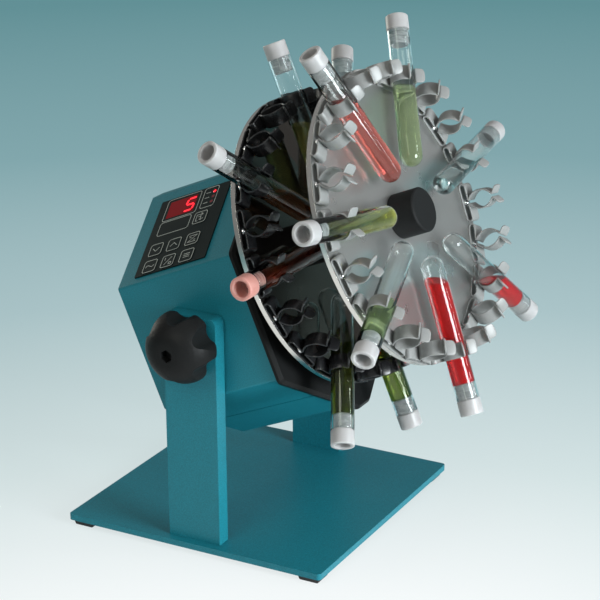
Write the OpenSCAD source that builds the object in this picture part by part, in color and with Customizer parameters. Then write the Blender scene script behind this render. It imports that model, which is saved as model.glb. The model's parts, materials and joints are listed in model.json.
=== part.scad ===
// Tube rotator: a tilting motor head on a two-post stand turns two clip discs that hold test tubes.
// Origin at the middle of the footprint, on the bench. The disc side faces -Y and +Z is up.

/* [Stand] */
// Width of the base plate, side to side
base_w = 180; // [170:1:240]
// Depth of the base plate, front to back
base_d = 180; // [160:1:240]
// Thickness of the base plate
base_t = 4; // [3:0.5:8]
// Corner radius of the base plate
base_corner_r = 2.5; // [1:0.5:10]
// Height of each foot
foot_h = 4; // [3:0.5:8]
// Diameter of a foot where it meets the plate
foot_top_d = 16; // [13:0.5:20]
// Diameter of a foot where it meets the bench
foot_bottom_d = 13; // [10:0.5:15]
// Distance from a foot's centre to the edges of the plate
foot_inset = 12; // [10:0.5:20]
// Height of the uprights above the tilt axis
upright_over = 16.5; // [14:0.5:40]
// Width of an upright, front to back
upright_w = 36; // [30:1:50]
// Thickness of an upright
upright_t = 10; // [8:0.5:14]
// Corner radius at the top of an upright
upright_corner_r = 4; // [2:0.5:12]
// Height of the tilt axis above the plate
pivot_h = 130; // [126:1:160]

/* [Head] */
// Tilt of the rotor axis above the horizontal at rest
rest_tilt = 23; // [0:1:67]
// Width of the housing between its flat sides
housing_w = 147; // [140:1:160]
// Height of the flat sides of the housing
housing_side_h = 79; // [70:1:90]
// Height of the housing over its top and bottom flats
housing_h = 161; // [150:1:175]
// Width of the top and bottom flats
housing_flat_w = 13; // [8:1:30]
// Wall of the housing
housing_wall = 2; // [1.5:0.1:3]
// Reach of the housing behind the tilt axis
housing_back = 45; // [42:0.5:60]
// Reach of the housing in front of the tilt axis
housing_front = 42.5; // [40:0.5:48]
// How far down the lower slopes the cover joint runs, as a share of the slope
cover_joint_share = 0.54; // [0.4:0.01:0.65]
// Depth of the overlapping lip inside the cover joint
cover_lip_h = 7; // [4:0.5:10]
// Thickness of the front plate
front_plate_t = 4; // [3:0.5:6]
// How far the front plate stands out past the housing all round
front_plate_lip = 3; // [1:0.25:4]
// Width of the bevel round the front plate
front_plate_bevel = 2; // [0.5:0.25:2.5]
// Side gap between the housing and each upright
side_gap = 1; // [0.8:0.1:2]

/* [Tilt clamp] */
// Diameter over the lobes of a star knob
knob_d = 45; // [38:0.5:50]
// Number of lobes
knob_lobes = 6; // [5:1:7]
// Height of a star knob's lobed head
knob_head_h = 22.5; // [18:0.5:26]
// Length of the neck under the head
knob_neck_h = 2.5; // [1.5:0.5:5]
// Diameter of the neck
knob_neck_d = 20; // [16:0.5:24]
// Diameter of the clamp stud
stud_d = 8; // [6:0.5:10]
// Width across flats of the hexagon socket in the knob
knob_socket_af = 7; // [5:0.5:9]

/* [Rotor] */
// Height of the rotor axis above the tilt axis, square to both
rotor_rise = 23.5; // [15:0.5:30]
// Diameter of both discs
disc_d = 180; // [176:1:200]
// Thickness of a disc
disc_t = 3; // [2:0.25:4]
// Distance from the tilt axis to the front face of the rear disc
rear_disc_at = 61; // [59:0.5:70]
// Distance between the front faces of the discs
disc_gap = 54; // [46:0.5:70]
// Diameter of the drive shaft
shaft_d = 10; // [8:0.5:12]
// Diameter of the front hub knob and of the spacer
hub_d = 27.4; // [22:0.2:34]
// Length of the front hub knob
hub_h = 18; // [12:0.5:30]
// Turn of the rotor at rest
rotor_phase = 1; // [0:0.5:17]

/* [Clips] */
// Clips on each disc
clip_count = 20; // [12:1:20]
// Radius of the circle of clip screws
clip_circle_r = 85.5; // [80:0.5:86]
// Width of the clip strip
clip_w = 9; // [7:0.5:10]
// Thickness of the clip strip
clip_t = 1; // [0.8:0.1:1.2]
// Length of the clip base over its bends
clip_base_l = 25; // [23:0.5:26]
// Height of the folded base
clip_base_h = 5; // [4.5:0.25:5.5]
// Height of the relaxed arms from the folded base to the mouth
clip_arm_h = 17; // [15:0.5:19]
// Bulge of a relaxed arm away from its chord
clip_arm_bulge = 4.9; // [3.5:0.1:5.4]
// Length of the flared tabs
clip_tab_l = 6; // [4:0.5:8]
// Diameter of a clip screw's domed head
clip_screw_head_d = 4.6; // [4:0.1:5.5]

/* [Tubes] */
// Outside diameter of a test tube
tube_d = 14; // [12:0.25:15]
// Wall of a test tube
tube_wall = 1; // [0.6:0.1:1.5]
// Length of the glass
tube_l = 87.5; // [70:0.5:92]
// Diameter of a cap
cap_d = 14; // [13:0.1:16]
// Length of a cap outside the glass
cap_l = 9.5; // [7:0.5:14]
// Wall of the cap's hollow grip
cap_wall = 2.3; // [1.2:0.1:3]
// Length of the cap's plug inside the glass
cap_plug_l = 9.5; // [5:0.5:12]

/* [Keypad] */
// Width of the keypad overlay, along the rotor axis
overlay_w = 54.6; // [50:0.2:58]
// Height of the keypad overlay, up the slope
overlay_h = 64.8; // [60:0.2:68]
// Thickness of the overlay
overlay_t = 0.8; // [0.5:0.1:1.2]
// Side of a square key
key_s = 10.2; // [8:0.1:11]
// How far a key stands proud of the overlay
key_proud = 0.3; // [0.1:0.05:0.5]
// Travel of a key
key_travel = 0.4; // [0.2:0.05:0.5]
// Width of the display window
display_w = 23.6; // [18:0.2:26]
// Height of the display window
display_h = 16; // [12:0.2:17]

/* [Back panel] */
// Width of the mains inlet's flange
inlet_w = 31; // [29:0.5:36]
// Height of the mains inlet's flange
inlet_h = 24; // [23:0.5:28]
// Width of the power switch's frame
switch_w = 15; // [13:0.5:20]
// Height of the power switch's frame
switch_h = 21; // [19:0.5:26]
// Rocking angle of the power switch to each side
rocker_angle = 10; // [6:1:14]

/* [Hidden] */
fine = 64;
run_gap = 0.05;      // radial running clearance of a shaft or stud
slide_gap = 0.3;     // clearance round a key or rocker
face_gap = 0.05;     // clearance between flat faces that slide
screw_d = 3;         // shank of the small screws
screw_hole_d = screw_d + 0.2;

plate_top = foot_h + base_t;
pivot_z = plate_top + pivot_h;
head_lift = 2;       // middle of the housing above the tilt axis at rest
upright_h = pivot_h + upright_over;
foot_x = base_w / 2 - foot_inset;
foot_y = base_d / 2 - foot_inset;
foot_recess_d = 7;
foot_recess_h = foot_h / 2;
upright_x = housing_w / 2 + side_gap;          // inner face of an upright
upright_bolt_d = 6;
upright_bolt_l = 22;
upright_bolt_y = upright_w / 4;

housing_back_t = housing_wall;                 // the back panel's thickness
slope_run = (housing_w - housing_flat_w) / 2;
slope_rise = (housing_h - housing_side_h) / 2;
slope_l = sqrt(slope_run * slope_run + slope_rise * slope_rise);
slope_dir = [slope_run / slope_l, slope_rise / slope_l];
joint_y = -housing_side_h / 2 - cover_joint_share * slope_rise;
joint_gap = 0.3;
fold_r = 1.8;                                  // outside radius of the housing's folds
fold_in_r = 0.4;                               // least radius inside them

stud_bore_d = stud_d + 2 * run_gap;
stud_hole_d = stud_d + 2;
washer_d = 24;
boss_d = 24;
boss_l = 9;
stud_reach = boss_l + housing_wall;            // stud length inside the housing's side
knob_washer_t = 1.2;
knob_turn = 29;                                // where the lobes stand at rest
knob_lobe_r = 6;
knob_lobe_at = knob_d / 2 - knob_lobe_r;
knob_scallop_r = 7.2;
knob_scallop_gap = 0.8;
knob_top_r = 6;                                // flat round the socket
knob_socket_depth = 6;
knob_washer_d = knob_neck_d - 1;

chassis_y = joint_y + cover_lip_h;
chassis_t = 2;
transformer = [44, 34, 16];                    // laminated core
winding_inset = [8, 5];
winding_l = 32;
winding_at = 8;

bearing_d = 16;
bearing_flange_d = 22;
bearing_flange_t = 1.5;
front_face = housing_front + front_plate_t;    // front of the front plate
spigot_l = 4;
spigot_t = 2;
motor_plate_t = 3;
motor_plate_w = 56;
motor_plate_h = 56;
motor_plate_at = housing_front - spigot_l - motor_plate_t;
gearbox_d = 37;
gearbox_l = 26;
motor_d = 28;
motor_l = 36;
motor_screw_circle_r = 15.2;
motor_screw_reach = 5;                         // motor screw inside the gearbox
motor_screw_head_d = 5.5;
motor_screw_head_h = 2;
shaft_in_gearbox = 14;
shaft_back = motor_plate_at - shaft_in_gearbox;
bearing_boss_d = bearing_d + 8;
rear_disc_back = rear_disc_at - disc_t;
front_disc_at = rear_disc_at + disc_gap;
front_disc_back = front_disc_at - disc_t;
hub_flange_d = 44;
hub_flange_t = 4;
hub_bore_l = hub_h - 4;                        // the hub knob's closed end is 4 thick
hub_bevel = 1;

clip_pitch = 360 / clip_count;
clip_bend_r = clip_base_h / 2;
clip_bend_at = clip_base_l / 2 - clip_bend_r;
tube_seat = 0.6;                               // held tube above the folded base
tube_rise = clip_base_h + tube_seat + tube_d / 2;   // tube axis above the face of its disc
loaded_r = tube_d / 2 + clip_t + run_gap;      // outside of the arms round a tube
loaded_mouth = 3.6;
loaded_mouth_y = tube_rise + sqrt(pow(loaded_r - clip_t / 2, 2) - loaded_mouth * loaded_mouth);
arm_foot = 2.2;
mouth_gap = 0.4;
relaxed_r = (clip_arm_h * clip_arm_h / 4 + clip_arm_bulge * clip_arm_bulge) / (2 * clip_arm_bulge);
relaxed_mouth = mouth_gap + clip_t / 2;
relaxed_mid_y = clip_base_h + clip_arm_h / 2 - clip_t / 2;
tab_angle = 52;
clip_tab_r = 2.5;
cap_rib_h = 0.4;                               // how far the sealing ribs stand out of a cap's plug

// Tubes of the front disc: slot, radius of the cap's end, and the place on the tube's axis, measured
// from its tip, that the liquid's level surface passes or stands above by a rise
front_load = [[1, 125, 51, 0], [4, 134, 40, 0], [7, 131, 51.5, 0], [10, 124.5, 15, 0],
              [13, 127, 52, 0], [15, 128.5, 38, 0], [18, 122.5, 60, 0]];
// Tubes of the rear disc, in the same terms
rear_load = [[0, 122, 45, 0], [2, 128, 45, 0], [10, 126.5, 25, 0], [12, 136, 29, 0],
             [15, 122, 40, 3], [17, 131.5, 33, 0]];
front_slots = [for (load = front_load) load[0]];
rear_slots = [for (load = rear_load) load[0]];

// Keypad grid on the slope: s runs forward along the rotor axis, u runs up the slope
overlay_s = -6;
overlay_u = 37.2;
key_cols = [-22.9, -8.8, 5.6];
key_rows = [11.2, 25, 43];
display_s = -13.9;
display_u = 59.2;
led_s = 10.2;
led_us = [55.4, 59.8, 64.2];
led_d = 2.4;
board_margin = 1;
board_t = 1.6;
board_top = -housing_wall;
key_places = [[0, 0], [1, 0], [2, 0], [0, 1], [1, 1], [2, 1], [2, 2]];   // column and row
key_corner_r = 1.5;
overlay_corner_r = 0.6;
dome_d = 6;
dome_room = 1;                                 // from the board to the underside of a key
dome_gap = 0.35;                               // left over a dome with its key pressed

inlet_s = 30;
inlet_y = -34;
inlet_x = -14;
switch_x = 18;
inlet_depth = 17;
inlet_cavity = [24.5, 16.5, 16];
pin_l = 11;
flange_t = 2;
flange_rim = 2;                                // flange beyond its hole in the panel
switch_rim = 1;
switch_wall = 2.5;
axle_d = 3;
axle_at = 4;                                   // depth of the rocker's axle behind the panel face
axle_end = 0.9;                                // axle inside each side wall of the frame

// ---- Shared outlines ----

function arc(cx, cy, r, a0, a1, n) =
    [for (i = [0 : n]) let (a = a0 + (a1 - a0) * i / n) [cx + r * cos(a), cy + r * sin(a)]];

module round_rect(w, h, r) {
    x = w / 2 - r;
    y = h / 2 - r;
    polygon(concat(arc(x, y, r, 0, 90, 5), arc(-x, y, r, 90, 180, 5),
                   arc(-x, -y, r, 180, 270, 5), arc(x, -y, r, 270, 360, 5)));
}

// Convex outline, listed anticlockwise, with each corner rounded
function rounded(points, r) =
    let (n = len(points), steps = 4)
    [for (i = [0 : n - 1])
        let (p = points[i], a = points[(i + n - 1) % n] - p, b = points[(i + 1) % n] - p,
             da = a / norm(a), db = b / norm(b), half = acos(da * db) / 2,
             centre = p + (da + db) / norm(da + db) * r / sin(half), from = atan2(-da[0], da[1]) + 180)
        for (k = [0 : steps]) let (turn = from + (180 - 2 * half) * k / steps)
            centre + r * [cos(turn), sin(turn)]];

// The long hexagon with clipped points that the housing and its plates share, grown by g all round,
// with its corners rounded
module hex_section(g = 0, r = fold_r) {
    w = housing_w / 2 + g;
    h = housing_h / 2 + g;
    turn = atan2(slope_rise, slope_run);
    side = housing_side_h / 2 + g * tan((90 - turn) / 2);
    flat = housing_flat_w / 2 + g * tan(turn / 2);
    polygon(rounded([[w, -side], [w, side], [flat, h], [-flat, h], [-w, side], [-w, -side],
                     [-flat, -h], [flat, -h]], max(r + g, fold_in_r)));
}

// ---- Frames ----

// Head frame: x to the right, y square to the rotor axis, z forward along the rotor axis
module in_head() {
    translate([0, 0, pivot_z + head_lift]) rotate([90 - rest_tilt, 0, 0]) children();
}

// Rotor frame: as the head frame, centred on the rotor axis and turned with it
module in_rotor() {
    in_head() translate([0, rotor_rise, 0]) rotate([0, 0, -rotor_phase]) children();
}

// Keypad frame: x forward along the slope, y up the slope, z out of it, from the lower fold
module on_slope() {
    in_head() multmatrix([[0, slope_dir[0], -slope_dir[1], -housing_w / 2],
                          [0, slope_dir[1], slope_dir[0], housing_side_h / 2],
                          [1, 0, 0, 0], [0, 0, 0, 1]]) children();
}

// Clip frame of one slot: x along the rim, y outwards, z away from the disc's front face
module at_slot(disc_at, slot, offset) {
    in_rotor() rotate([0, 0, -(slot * clip_pitch + offset)]) translate([0, 0, disc_at]) children();
}

// Side frame: z points out of the left or the right side along the tilt axis
module on_side(side) {
    translate([0, 0, pivot_z]) rotate([0, side * 90, 0]) children();
}

// ---- Stand ----

module base_plate() {
    color("teal") difference() {
        translate([0, 0, foot_h]) linear_extrude(base_t) round_rect(base_w, base_d, base_corner_r);
        for (x = [-foot_x, foot_x], y = [-foot_y, foot_y])
            translate([x, y, foot_h - 1]) cylinder(d = screw_d, h = base_t, $fn = fine);
        for (x = [-1, 1], y = [-upright_bolt_y, upright_bolt_y])
            translate([x * (upright_x + upright_t / 2), y, foot_h - 1])
                cylinder(d = upright_bolt_d, h = base_t + 2, $fn = fine);
    }
}

module foot(x, y) {
    color("black") translate([x * foot_x, y * foot_y, 0]) difference() {
        cylinder(d1 = foot_bottom_d, d2 = foot_top_d, h = foot_h, $fn = fine);
        translate([0, 0, -1]) cylinder(d = foot_recess_d, h = foot_recess_h + 1, $fn = fine);
        cylinder(d = screw_d, h = foot_h + 1, $fn = fine);
    }
}

module foot_screws() {
    head_h = foot_recess_h - 0.6;
    color("silver") for (x = [-foot_x, foot_x], y = [-foot_y, foot_y])
        translate([x, y, foot_recess_h - head_h]) {
            cylinder(d = foot_recess_d - 1, h = head_h, $fn = fine);
            cylinder(d = screw_d, h = foot_h + base_t - 1 - foot_recess_h + head_h, $fn = fine);
        }
}

module upright(side) {
    r = upright_corner_r;
    w = upright_w / 2;
    outline = concat([[w, 0]], arc(w - r, upright_h - r, r, 0, 90, 6),
                     arc(r - w, upright_h - r, r, 90, 180, 6), [[-w, 0]]);
    color("teal") difference() {
        translate([side > 0 ? upright_x : -upright_x - upright_t, 0, plate_top])
            rotate([90, 0, 90]) linear_extrude(upright_t) polygon(outline);
        on_side(side) cylinder(d = stud_bore_d, h = upright_x + upright_t + 1, $fn = fine);
        for (y = [-upright_bolt_y, upright_bolt_y])
            translate([side * (upright_x + upright_t / 2), y, plate_top - 1])
                cylinder(d = upright_bolt_d, h = upright_bolt_l - base_t + 1, $fn = fine);
    }
}

module upright_screws() {
    head_h = 2.5;
    color("silver") for (side = [-1, 1], y = [-upright_bolt_y, upright_bolt_y])
        translate([side * (upright_x + upright_t / 2), y, foot_h]) {
            cylinder(d = upright_bolt_d, h = upright_bolt_l, $fn = fine);
            translate([0, 0, -head_h]) difference() {
                cylinder(d = 10, h = head_h, $fn = fine);
                translate([0, 0, -1]) cylinder(d = 5, h = 2.4, $fn = 6);
            }
        }
}

// ---- Head ----

module shell_ring(from, to) {
    translate([0, 0, from]) linear_extrude(to - from) difference() {
        hex_section();
        hex_section(-housing_wall);
    }
}

module below(y) {
    translate([-housing_w, y - housing_h, -housing_back - 1])
        cube([2 * housing_w, housing_h, housing_back + housing_front + 2]);
}

module housing_upper() {
    color("teal") difference() {
        in_head() difference() {
            shell_ring(-housing_back, housing_front);
            below(joint_y);
        }
        for (side = [-1, 1])
            on_side(side) cylinder(d = stud_hole_d, h = housing_w, $fn = fine);
        on_slope() panel_windows(-2 * housing_wall, housing_wall);
    }
}

// The bottom cover, with lips that reach up inside the upper shell
module housing_lower() {
    lip_t = 1.5;
    back = -housing_back + housing_back_t + 1;
    color("teal") in_head() {
        intersection() {
            shell_ring(-housing_back, housing_front);
            below(joint_y - joint_gap);
        }
        intersection() {
            translate([0, 0, back]) linear_extrude(housing_front - spigot_l - 1 - back) difference() {
                hex_section(-housing_wall);
                hex_section(-housing_wall - lip_t);
            }
            difference() {
                below(joint_y + cover_lip_h);
                below(joint_y - cover_lip_h);
            }
        }
    }
}

module rear_panel() {
    color("teal") in_head() translate([0, 0, -housing_back]) difference() {
        linear_extrude(housing_back_t) hex_section(-housing_wall);
        translate([inlet_x, inlet_y, -1]) linear_extrude(housing_back_t + 2)
            square([inlet_w - 2 * flange_rim, inlet_h - 2 * flange_rim], center = true);
        translate([switch_x, inlet_y, -1]) linear_extrude(housing_back_t + 2)
            square([switch_w - 2 * switch_rim, switch_h - 2 * switch_rim], center = true);
        for (p = panel_screw_at())
            translate([p[0], p[1], -1]) cylinder(d = screw_d, h = housing_back_t + 2, $fn = fine);
    }
}

function panel_screw_at() = [for (x = [-1, 1], y = [-1, 1])
    [x * (housing_w / 2 - 12), y * (housing_side_h / 2 - 8)]];

module rear_panel_screws() {
    color("silver") in_head() translate([0, 0, -housing_back]) for (p = panel_screw_at())
        translate([p[0], p[1], 0]) {
            cylinder(d = screw_d, h = 8, $fn = fine);
            translate([0, 0, -1.8]) difference() {
                cylinder(d = 5.6, h = 1.8, $fn = fine);
                translate([0, 0, -1]) cylinder(d = 2.6, h = 2, $fn = 6);
            }
        }
}

// Bevelled cover plate with a spigot that closes the front of the shell
module front_plate() {
    b = front_plate_bevel;
    color("black") in_head() difference() {
        union() {
            translate([0, 0, housing_front]) linear_extrude(front_plate_t - b)
                hex_section(front_plate_lip);
            translate([0, 0, front_face - b]) hull() {
                linear_extrude(0.01) hex_section(front_plate_lip);
                translate([0, 0, b - 0.01]) linear_extrude(0.01) hex_section(front_plate_lip - b);
            }
            translate([0, 0, housing_front - spigot_l]) linear_extrude(spigot_l) difference() {
                hex_section(-housing_wall);
                hex_section(-housing_wall - spigot_t);
            }
            translate([0, rotor_rise, housing_front - spigot_l])
                cylinder(d = bearing_boss_d, h = spigot_l, $fn = fine);
        }
        translate([0, rotor_rise, housing_front - spigot_l - 1])
            cylinder(d = bearing_d, h = spigot_l + front_plate_t + 2, $fn = fine);
    }
}

module front_bearing() {
    bore = shaft_d + 2 * run_gap;
    color("goldenrod") in_head() translate([0, rotor_rise, housing_front - spigot_l]) difference() {
        union() {
            cylinder(d = bearing_d, h = spigot_l + front_plate_t, $fn = fine);
            translate([0, 0, spigot_l + front_plate_t])
                cylinder(d = bearing_flange_d, h = bearing_flange_t, $fn = fine);
        }
        translate([0, 0, -1]) cylinder(d = bore, h = spigot_l + front_plate_t + 4, $fn = fine);
    }
}

// Threaded boss inside each side wall for the clamp stud
module pivot_boss(side) {
    color("silver") on_side(side) translate([0, 0, housing_w / 2 - housing_wall - boss_l])
        difference() {
            cylinder(d = boss_d, h = boss_l, $fn = fine);
            translate([0, 0, -1]) cylinder(d = stud_bore_d, h = boss_l + 2, $fn = fine);
        }
}

module friction_washer(side) {
    color("dimgray") on_side(side) translate([0, 0, housing_w / 2]) difference() {
        cylinder(d = washer_d, h = side_gap - face_gap, $fn = fine);
        translate([0, 0, -1]) cylinder(d = stud_bore_d, h = side_gap + 2, $fn = fine);
    }
}

// ---- Tilt clamp ----

module clamp_stud(side) {
    stud_out = side_gap + upright_t + knob_washer_t + knob_neck_h + knob_head_h / 2;
    color("silver") on_side(side) {
        translate([0, 0, housing_w / 2 - stud_reach])
            cylinder(d = stud_d, h = stud_reach + stud_out, $fn = fine);
        translate([0, 0, upright_x + upright_t + face_gap])
            cylinder(d = knob_washer_d, h = knob_washer_t, $fn = fine);
    }
}

module knob_outline() {
    difference() {
        union() {
            circle(r = knob_lobe_at + knob_lobe_r / 2, $fn = fine);
            for (i = [0 : knob_lobes - 1]) rotate(knob_turn + i * 360 / knob_lobes)
                translate([knob_lobe_at, 0]) circle(r = knob_lobe_r, $fn = fine);
        }
        for (i = [0 : knob_lobes - 1]) rotate(knob_turn + (i + 0.5) * 360 / knob_lobes)
            translate([knob_lobe_at + knob_scallop_r + knob_scallop_gap, 0])
                circle(r = knob_scallop_r, $fn = fine);
    }
}

// Half profile of the knob's domed head: a rounded rim, then a quarter ellipse up to the top flat
module dome_profile() {
    r = knob_d / 2;
    edge = 3;
    rise = knob_head_h - edge;
    spread = r - knob_top_r;
    polygon(concat([[0, 0], [r - edge, 0]], arc(r - edge, edge, edge, -90, 0, 4),
                   [for (a = [10 : 10 : 80]) [knob_top_r + spread * cos(a), edge + rise * sin(a)]],
                   [[knob_top_r, knob_head_h], [0, knob_head_h]]));
}

module star_knob(side) {
    seat = upright_x + upright_t + face_gap + knob_washer_t;
    color("black") on_side(side) translate([0, 0, seat]) difference() {
        union() {
            cylinder(d = knob_neck_d, h = knob_neck_h + 1, $fn = fine);
            translate([0, 0, knob_neck_h]) intersection() {
                linear_extrude(knob_head_h) knob_outline();
                rotate_extrude($fn = fine) dome_profile();
            }
        }
        translate([0, 0, -1]) cylinder(d = stud_d, h = knob_neck_h + knob_head_h / 2 + 1, $fn = fine);
        translate([0, 0, knob_neck_h + knob_head_h - knob_socket_depth])
            cylinder(d = knob_socket_af / cos(30), h = knob_socket_depth + 1, $fn = 6);
    }
}

// ---- Keypad ----

// Windows for the keys, the display and the lights, from one height to another
module panel_windows(from, to) {
    for (k = key_places) key_block(k[0], k[1], from, to, key_s + 2 * slide_gap);
    display_block(from, to);
    for (u = led_us) translate([led_s, u, from]) cylinder(d = led_d, h = to - from, $fn = fine);
}

module key_block(col, row, from, to, s) {
    translate([key_cols[col], key_rows[row], from]) linear_extrude(to - from) round_rect(s, s, key_corner_r);
}

module display_block(from, to) {
    translate([display_s - display_w / 2, display_u - display_h / 2, from])
        cube([display_w, display_h, to - from]);
}

module keypad_overlay() {
    color("black") on_slope() difference() {
        translate([overlay_s, overlay_u, 0]) linear_extrude(overlay_t)
            round_rect(overlay_w, overlay_h, overlay_corner_r);
        panel_windows(-1, overlay_t + 1);
    }
}

module key(col, row) {
    color("black") on_slope()
        key_block(col, row, board_top + dome_room, overlay_t + key_proud, key_s);
}

module display_window() {
    color("darkred") on_slope() display_block(0, overlay_t);
}

module display_module() {
    color("dimgray") on_slope() display_block(board_top, 0);
}

module indicator_leds() {
    color("red") on_slope() for (u = led_us) translate([led_s, u, board_top])
        cylinder(d = led_d, h = overlay_t - board_top, $fn = fine);
}

module control_board() {
    dome_h = dome_room - key_travel - dome_gap;
    color("darkgreen") on_slope() {
        translate([overlay_s, overlay_u, board_top - board_t]) linear_extrude(board_t)
            square([overlay_w - 2 * board_margin, overlay_h - 2 * board_margin], center = true);
        for (k = key_places)
            translate([key_cols[k[0]], key_rows[k[1]], board_top])
                cylinder(d = dome_d, h = dome_h, $fn = fine);
    }
}

// ---- Drive and supply ----

// Half the clear width inside the lower slopes at a height y
function inside_half_w(y) =
    housing_w / 2 - (-y - housing_side_h / 2) * slope_run / slope_rise - housing_wall / slope_dir[1];

module chassis_plate() {
    back = -housing_back + housing_back_t;
    half = inside_half_w(chassis_y);
    color("silver") in_head() translate([-half, chassis_y, back])
        cube([2 * half, chassis_t, housing_front - spigot_l - back]);
}

// Mains transformer with its laminated core and winding
module power_supply() {
    w = transformer[0];
    h = transformer[1];
    color("dimgray") in_head() translate([0, chassis_y + chassis_t, winding_at]) {
        translate([-w / 2, 0, -transformer[2] / 2]) cube(transformer);
        translate([-w / 2 + winding_inset[0], winding_inset[1], -winding_l / 2])
            cube([w - 2 * winding_inset[0], h - 2 * winding_inset[1], winding_l]);
    }
}

module motor_plate() {
    color("silver") in_head() translate([0, rotor_rise, motor_plate_at]) difference() {
        linear_extrude(motor_plate_t) round_rect(motor_plate_w, motor_plate_h, 4);
        translate([0, 0, -1]) cylinder(d = shaft_d + 2, h = motor_plate_t + 2, $fn = fine);
        for (a = [0 : 120 : 240]) rotate(a) translate([motor_screw_circle_r, 0, -1])
            cylinder(d = screw_d, h = motor_plate_t + 2, $fn = fine);
    }
}

module motor_screws() {
    color("silver") in_head() translate([0, rotor_rise, motor_plate_at]) for (a = [0 : 120 : 240])
        rotate(a) translate([motor_screw_circle_r, 0, -motor_screw_reach]) {
            cylinder(d = screw_d, h = motor_screw_reach + motor_plate_t, $fn = fine);
            translate([0, 0, motor_screw_reach + motor_plate_t])
                cylinder(d = motor_screw_head_d, h = motor_screw_head_h, $fn = fine);
        }
}

module gearbox() {
    color("silver") in_head() translate([0, rotor_rise, motor_plate_at - gearbox_l]) difference() {
        cylinder(d = gearbox_d, h = gearbox_l, $fn = fine);
        translate([0, 0, gearbox_l - shaft_in_gearbox - slide_gap])
            cylinder(d = shaft_d + 2 * run_gap, h = shaft_in_gearbox + 1, $fn = fine);
        for (a = [0 : 120 : 240]) rotate(a)
            translate([motor_screw_circle_r, 0, gearbox_l - motor_screw_reach])
                cylinder(d = screw_d, h = motor_screw_reach + 1, $fn = fine);
    }
}

module motor() {
    color("gray") in_head() translate([0, rotor_rise, motor_plate_at - gearbox_l - motor_l]) {
        cylinder(d = motor_d, h = motor_l, $fn = fine);
        translate([0, 0, -2]) cylinder(d = 10, h = 2, $fn = fine);
    }
}

// Mains inlet: flange, body and a cavity open to the back
module mains_inlet() {
    color("black") in_head() translate([inlet_x, inlet_y, -housing_back]) difference() {
        union() {
            translate([0, 0, -flange_t]) linear_extrude(flange_t) round_rect(inlet_w, inlet_h, 2);
            translate([0, 0, -flange_t / 2]) linear_extrude(inlet_depth + flange_t / 2)
                square([inlet_w - 2 * flange_rim, inlet_h - 2 * flange_rim], center = true);
        }
        translate([0, 0, -flange_t - 1]) linear_extrude(inlet_cavity[2] + 1)
            square([inlet_cavity[0], inlet_cavity[1]], center = true);
    }
}

// Live, neutral and earth blades on the floor of the cavity
module inlet_pins() {
    blade = [2, 4];
    bottom = inlet_cavity[2] - flange_t;
    color("silver") in_head() for (p = [[-7, -2], [7, -2], [0, 3.5]])
        translate([inlet_x + p[0], inlet_y + p[1], -housing_back + bottom - pin_l])
            linear_extrude(pin_l) square(blade, center = true);
}

module switch_frame() {
    flange = flange_t * 0.75;
    depth = 14;
    floor_t = 2;
    color("black") in_head() translate([switch_x, inlet_y, -housing_back]) difference() {
        union() {
            translate([0, 0, -flange]) linear_extrude(flange) round_rect(switch_w, switch_h, 1);
            translate([0, 0, -flange / 2]) linear_extrude(depth + flange / 2)
                square([switch_w - 2 * switch_rim, switch_h - 2 * switch_rim], center = true);
        }
        translate([0, 0, -flange - 1]) linear_extrude(depth - floor_t + flange + 1)
            square([switch_w - 2 * switch_wall, switch_h - 2 * switch_wall], center = true);
        translate([0, 0, axle_at]) rotate([0, 90, 0])
            cylinder(d = axle_d + 2 * run_gap, h = switch_w - 2 * switch_rim - 1, center = true, $fn = fine);
    }
}

// Rocker with moulded axle ends, pressed in at one side at rest
module switch_rocker() {
    w = switch_w - 2 * switch_wall - 2 * slide_gap;
    half = switch_h / 2 - switch_wall - 1.5;
    foot = 3;
    crest = axle_at + 2.2;
    color("black") in_head() translate([switch_x, inlet_y, -housing_back + axle_at])
        rotate([rocker_angle, 0, 0]) {
            translate([-w / 2, 0, 0]) rotate([90, 0, 90]) linear_extrude(w)
                polygon([[-foot, foot], [-half, -crest / 2], [-half, -crest], [0, 1 - crest],
                         [half, -crest], [half, -crest / 2], [foot, foot]]);
            rotate([0, 90, 0]) cylinder(d = axle_d, h = w + 2 * axle_end, center = true, $fn = fine);
        }
}

// ---- Rotor ----

module drive_shaft() {
    color("silver") in_rotor() translate([0, 0, shaft_back])
        cylinder(d = shaft_d, h = front_disc_at + hub_bore_l - shaft_back, $fn = fine);
}

module rear_hub() {
    back = front_face + bearing_flange_t + slide_gap;
    color("silver") in_rotor() difference() {
        union() {
            translate([0, 0, back]) cylinder(d = hub_d, h = rear_disc_back - back, $fn = fine);
            translate([0, 0, rear_disc_back - hub_flange_t])
                cylinder(d = hub_flange_d, h = hub_flange_t, $fn = fine);
        }
        cylinder(d = shaft_d, h = rear_disc_at, $fn = fine);
    }
}

module disc(front, offset) {
    color("silver") in_rotor() translate([0, 0, front - disc_t]) difference() {
        cylinder(d = disc_d, h = disc_t, $fn = 2 * fine);
        translate([0, 0, -1]) cylinder(d = shaft_d, h = disc_t + 2, $fn = fine);
        for (i = [0 : clip_count - 1]) rotate(-(i * clip_pitch + offset))
            translate([0, clip_circle_r, -1]) cylinder(d = screw_d, h = disc_t + 2, $fn = fine);
    }
}

module spacer() {
    color("black") in_rotor() translate([0, 0, rear_disc_at]) difference() {
        cylinder(d = hub_d, h = front_disc_back - rear_disc_at, $fn = fine);
        translate([0, 0, -1]) cylinder(d = shaft_d, h = disc_gap + 2, $fn = fine);
    }
}

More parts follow.
